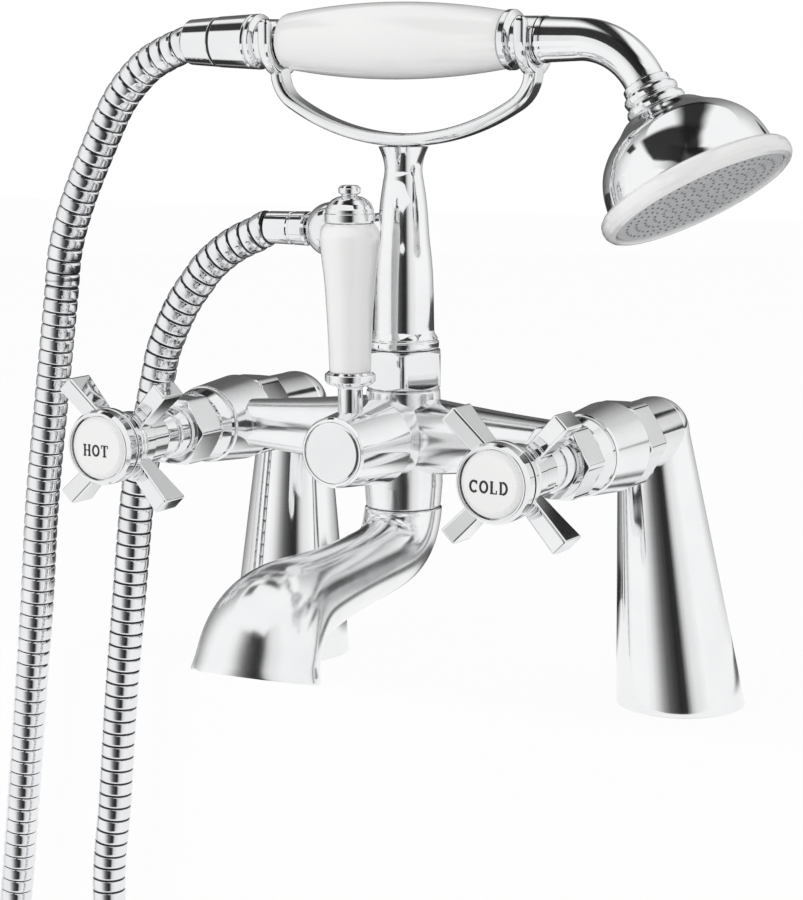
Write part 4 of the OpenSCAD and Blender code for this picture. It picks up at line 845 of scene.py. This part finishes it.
softboxes = [  # name, place, aim, size, watts
    ("keyBox", (-0.7, -1.75, 0.45), (0, -0.06, 0.12), 1.1, 7),
    ("topBox", (0.5, -0.1, 1.9), (0, -0.06, 0.1), 0.9, 2),
]
for name, place, aim, size, watts in softboxes:
    lamp = bpy.data.lights.new(name, "AREA")
    lamp.shape, lamp.size, lamp.energy = "SQUARE", size, watts
    box = bpy.data.objects.new(name, lamp)
    box.location = place
    box.rotation_euler = (Vector(aim) - Vector(place)).to_track_quat("-Z", "Y").to_euler()
    box.visible_glossy = False  # the tent gives the highlights
    scene.collection.objects.link(box)


# tent round the set that the chrome shows as dark and light bands, seen by glossy rays alone
def shadeOf(tree, factor):
    dark = tree.nodes["Principled BSDF"]
    clear, blendIn = tree.nodes.new("ShaderNodeBsdfTransparent"), tree.nodes.new("ShaderNodeMixShader")
    tree.links.new(factor, blendIn.inputs["Fac"])
    tree.links.new(clear.outputs["BSDF"], blendIn.inputs[1])
    tree.links.new(dark.outputs["BSDF"], blendIn.inputs[2])
    tree.links.new(blendIn.outputs["Shader"], tree.nodes["Material Output"].inputs["Surface"])


def maths(tree, operation, first, second=None):
    node = tree.nodes.new("ShaderNodeMath")
    node.operation = operation
    for k, value in enumerate((first, second)):
        if isinstance(value, (int, float)):
            node.inputs[k].default_value = value
        elif value is not None:
            tree.links.new(value, node.inputs[k])
    return node.outputs["Value"]


def fadeOut(tree, value, inner, outer):  # 1 inside, 0 outside
    fade = tree.nodes.new("ShaderNodeMapRange")
    fade.interpolation_type = "SMOOTHSTEP"
    for socket, number in (("From Min", inner), ("From Max", outer), ("To Min", 1), ("To Max", 0)):
        fade.inputs[socket].default_value = number
    tree.links.new(maths(tree, "ABSOLUTE", value), fade.inputs["Value"])
    return fade.outputs["Result"]


def stageMesh(name, corners, faces, place):
    sheet = bpy.data.meshes.new(name)
    sheet.from_pydata(corners, [], faces)
    thing = bpy.data.objects.new(name, sheet)
    thing.location = place
    scene.collection.objects.link(thing)
    thing.visible_camera = thing.visible_shadow = thing.visible_diffuse = False
    mat, tree, _ = newMaterial(name, Base_Color=(0.008, 0.008, 0.009, 1), Roughness=0.95)
    sheet.materials.append(mat)
    split = tree.nodes.new("ShaderNodeSeparateXYZ")
    tree.links.new(tree.nodes.new("ShaderNodeTexCoord").outputs["Object"], split.inputs["Vector"])
    return tree, split.outputs


wall = {
    "radius": 2.4, "low": -2.4, "high": 2.7, "centre": (0, -0.06, 0.1), "steps": 96, "fade": (2.5, 2.69),
    "from": 29.2,
    "bands": [(-180, 0.9), (-162, 0.88), (-140, 0.66), (-125, 0.42), (-110, 0.12), (-98, 0), (-62, 0),
              (-50, 0.1), (-40, 0.36), (-30, 0.68), (-20, 0.88), (-10, 0.95), (0, 0.99), (10, 0.98),
              (15, 0.75), (20, 0.4), (28, 0.17), (40, 0.1), (52, 0), (108, 0), (120, 0.12), (130, 0.27),
              (142, 0.4), (156, 0.6), (172, 0.88)],  # degrees from the camera's heading, darkness
}
deck = {"from": 100, "sweep": 160, "steps": 32, "inner": 0.1, "outer": 2.39, "place": (0, 0, 0.002)}


def bandShade(tree, axis):  # darkness by heading
    heading = maths(tree, "ARCTAN2", axis["X"], maths(tree, "MULTIPLY", axis["Y"], -1))
    turned = maths(tree, "ADD", maths(tree, "DIVIDE", heading, 2 * pi), 1.5 - wall["from"] / 360)
    ramp = tree.nodes.new("ShaderNodeValToRGB")
    marks = ramp.color_ramp.elements
    while len(marks) < len(wall["bands"]):
        marks.new(0.5)
    for mark, (degree, dark) in zip(marks, wall["bands"]):
        mark.position = (degree + 180) / 360
        mark.color = (dark, dark, dark, 1)
    tree.links.new(maths(tree, "FRACT", turned), ramp.inputs["Fac"])
    return ramp.outputs["Color"]


n, r = wall["steps"], wall["radius"]
ring = [radians(360 * k / n) for k in range(n)]
corners = [(r * sin(a), -r * cos(a), z) for z in (wall["low"], wall["high"]) for a in ring]
faces = [(k, (k + 1) % n, n + (k + 1) % n, n + k) for k in range(n)]
tree, axis = stageMesh("tentWall", corners, faces, wall["centre"])
shadeOf(tree, maths(tree, "MULTIPLY", bandShade(tree, axis), fadeOut(tree, axis["Z"], *wall["fade"])))
n = deck["steps"]
arc = [radians(wall["from"] + deck["from"] + deck["sweep"] * k / n) for k in range(n + 1)]
corners = [(r * sin(a), -r * cos(a), 0) for r in (deck["inner"], deck["outer"]) for a in arc]
faces = [(k, k + 1, n + 2 + k, n + 1 + k) for k in range(n)]
tree, axis = stageMesh("tentDeck", corners, faces, deck["place"])
shadeOf(tree, bandShade(tree, axis))

boards = [  # name, place, tilt, turn, half width, half depth, soft edge, darkness
    ("boardRidge", (0, -0.06, 2.56), 0, 24, 0.75, 3.2, 0.5, 0.98),
    ("boardFront", (0.05, -0.24, 0.36), 0, 0, 0.13, 0.15, 0.04, 0.98),
    ("boardBehind", (-0.1, 0.25, 0.12), 0, 0, 0.4, 0.24, 0.08, 0.95),
    # dark sheet under the legs: painted reflection of the floor's contact shade
    ("boardUnderShade", (0, 0.09, 0.003), 0, 0, 0.17, 0.065, 0.045, 0.85),
    ("boardSide", (0.24, 0.77, 0.49), 90, 0, 0.09, 0.09, 0.05, 0.98),
    ("boardNut", (-0.165, -0.11, 0.36), 0, 0, 0.06, 0.055, 0.025, 0.97),
    ("boardLeft", (-0.155, -0.04, 0.16), 0, 0, 0.035, 0.04, 0.02, 0.97),
]
for name, place, tilt, turn, wide, deep, soft, dark in boards:
    corners = [(-wide, -deep, 0), (wide, -deep, 0), (wide, deep, 0), (-wide, deep, 0)]
    tree, axis = stageMesh(name, corners, [(0, 1, 2, 3)], place)
    bpy.data.objects[name].rotation_euler = (radians(tilt), 0, radians(turn))
    across, along = fadeOut(tree, axis["X"], wide - soft, wide), fadeOut(tree, axis["Y"], deep - soft, deep)
    shadeOf(tree, maths(tree, "MULTIPLY", maths(tree, "MULTIPLY", across, along), dark))
card = {"place": (0, -0.21, 0.22),
        "corners": [(-0.07, -0.1, 0), (0.13, -0.1, 0), (0.13, 0.09, 0), (-0.07, 0.09, 0)]}
tree, axis = stageMesh("whiteCard", card["corners"], [(0, 1, 2, 3)], card["place"])
glow = tree.nodes.new("ShaderNodeEmission")
tree.links.new(glow.outputs["Emission"], tree.nodes["Material Output"].inputs["Surface"])
print("stage and light set")
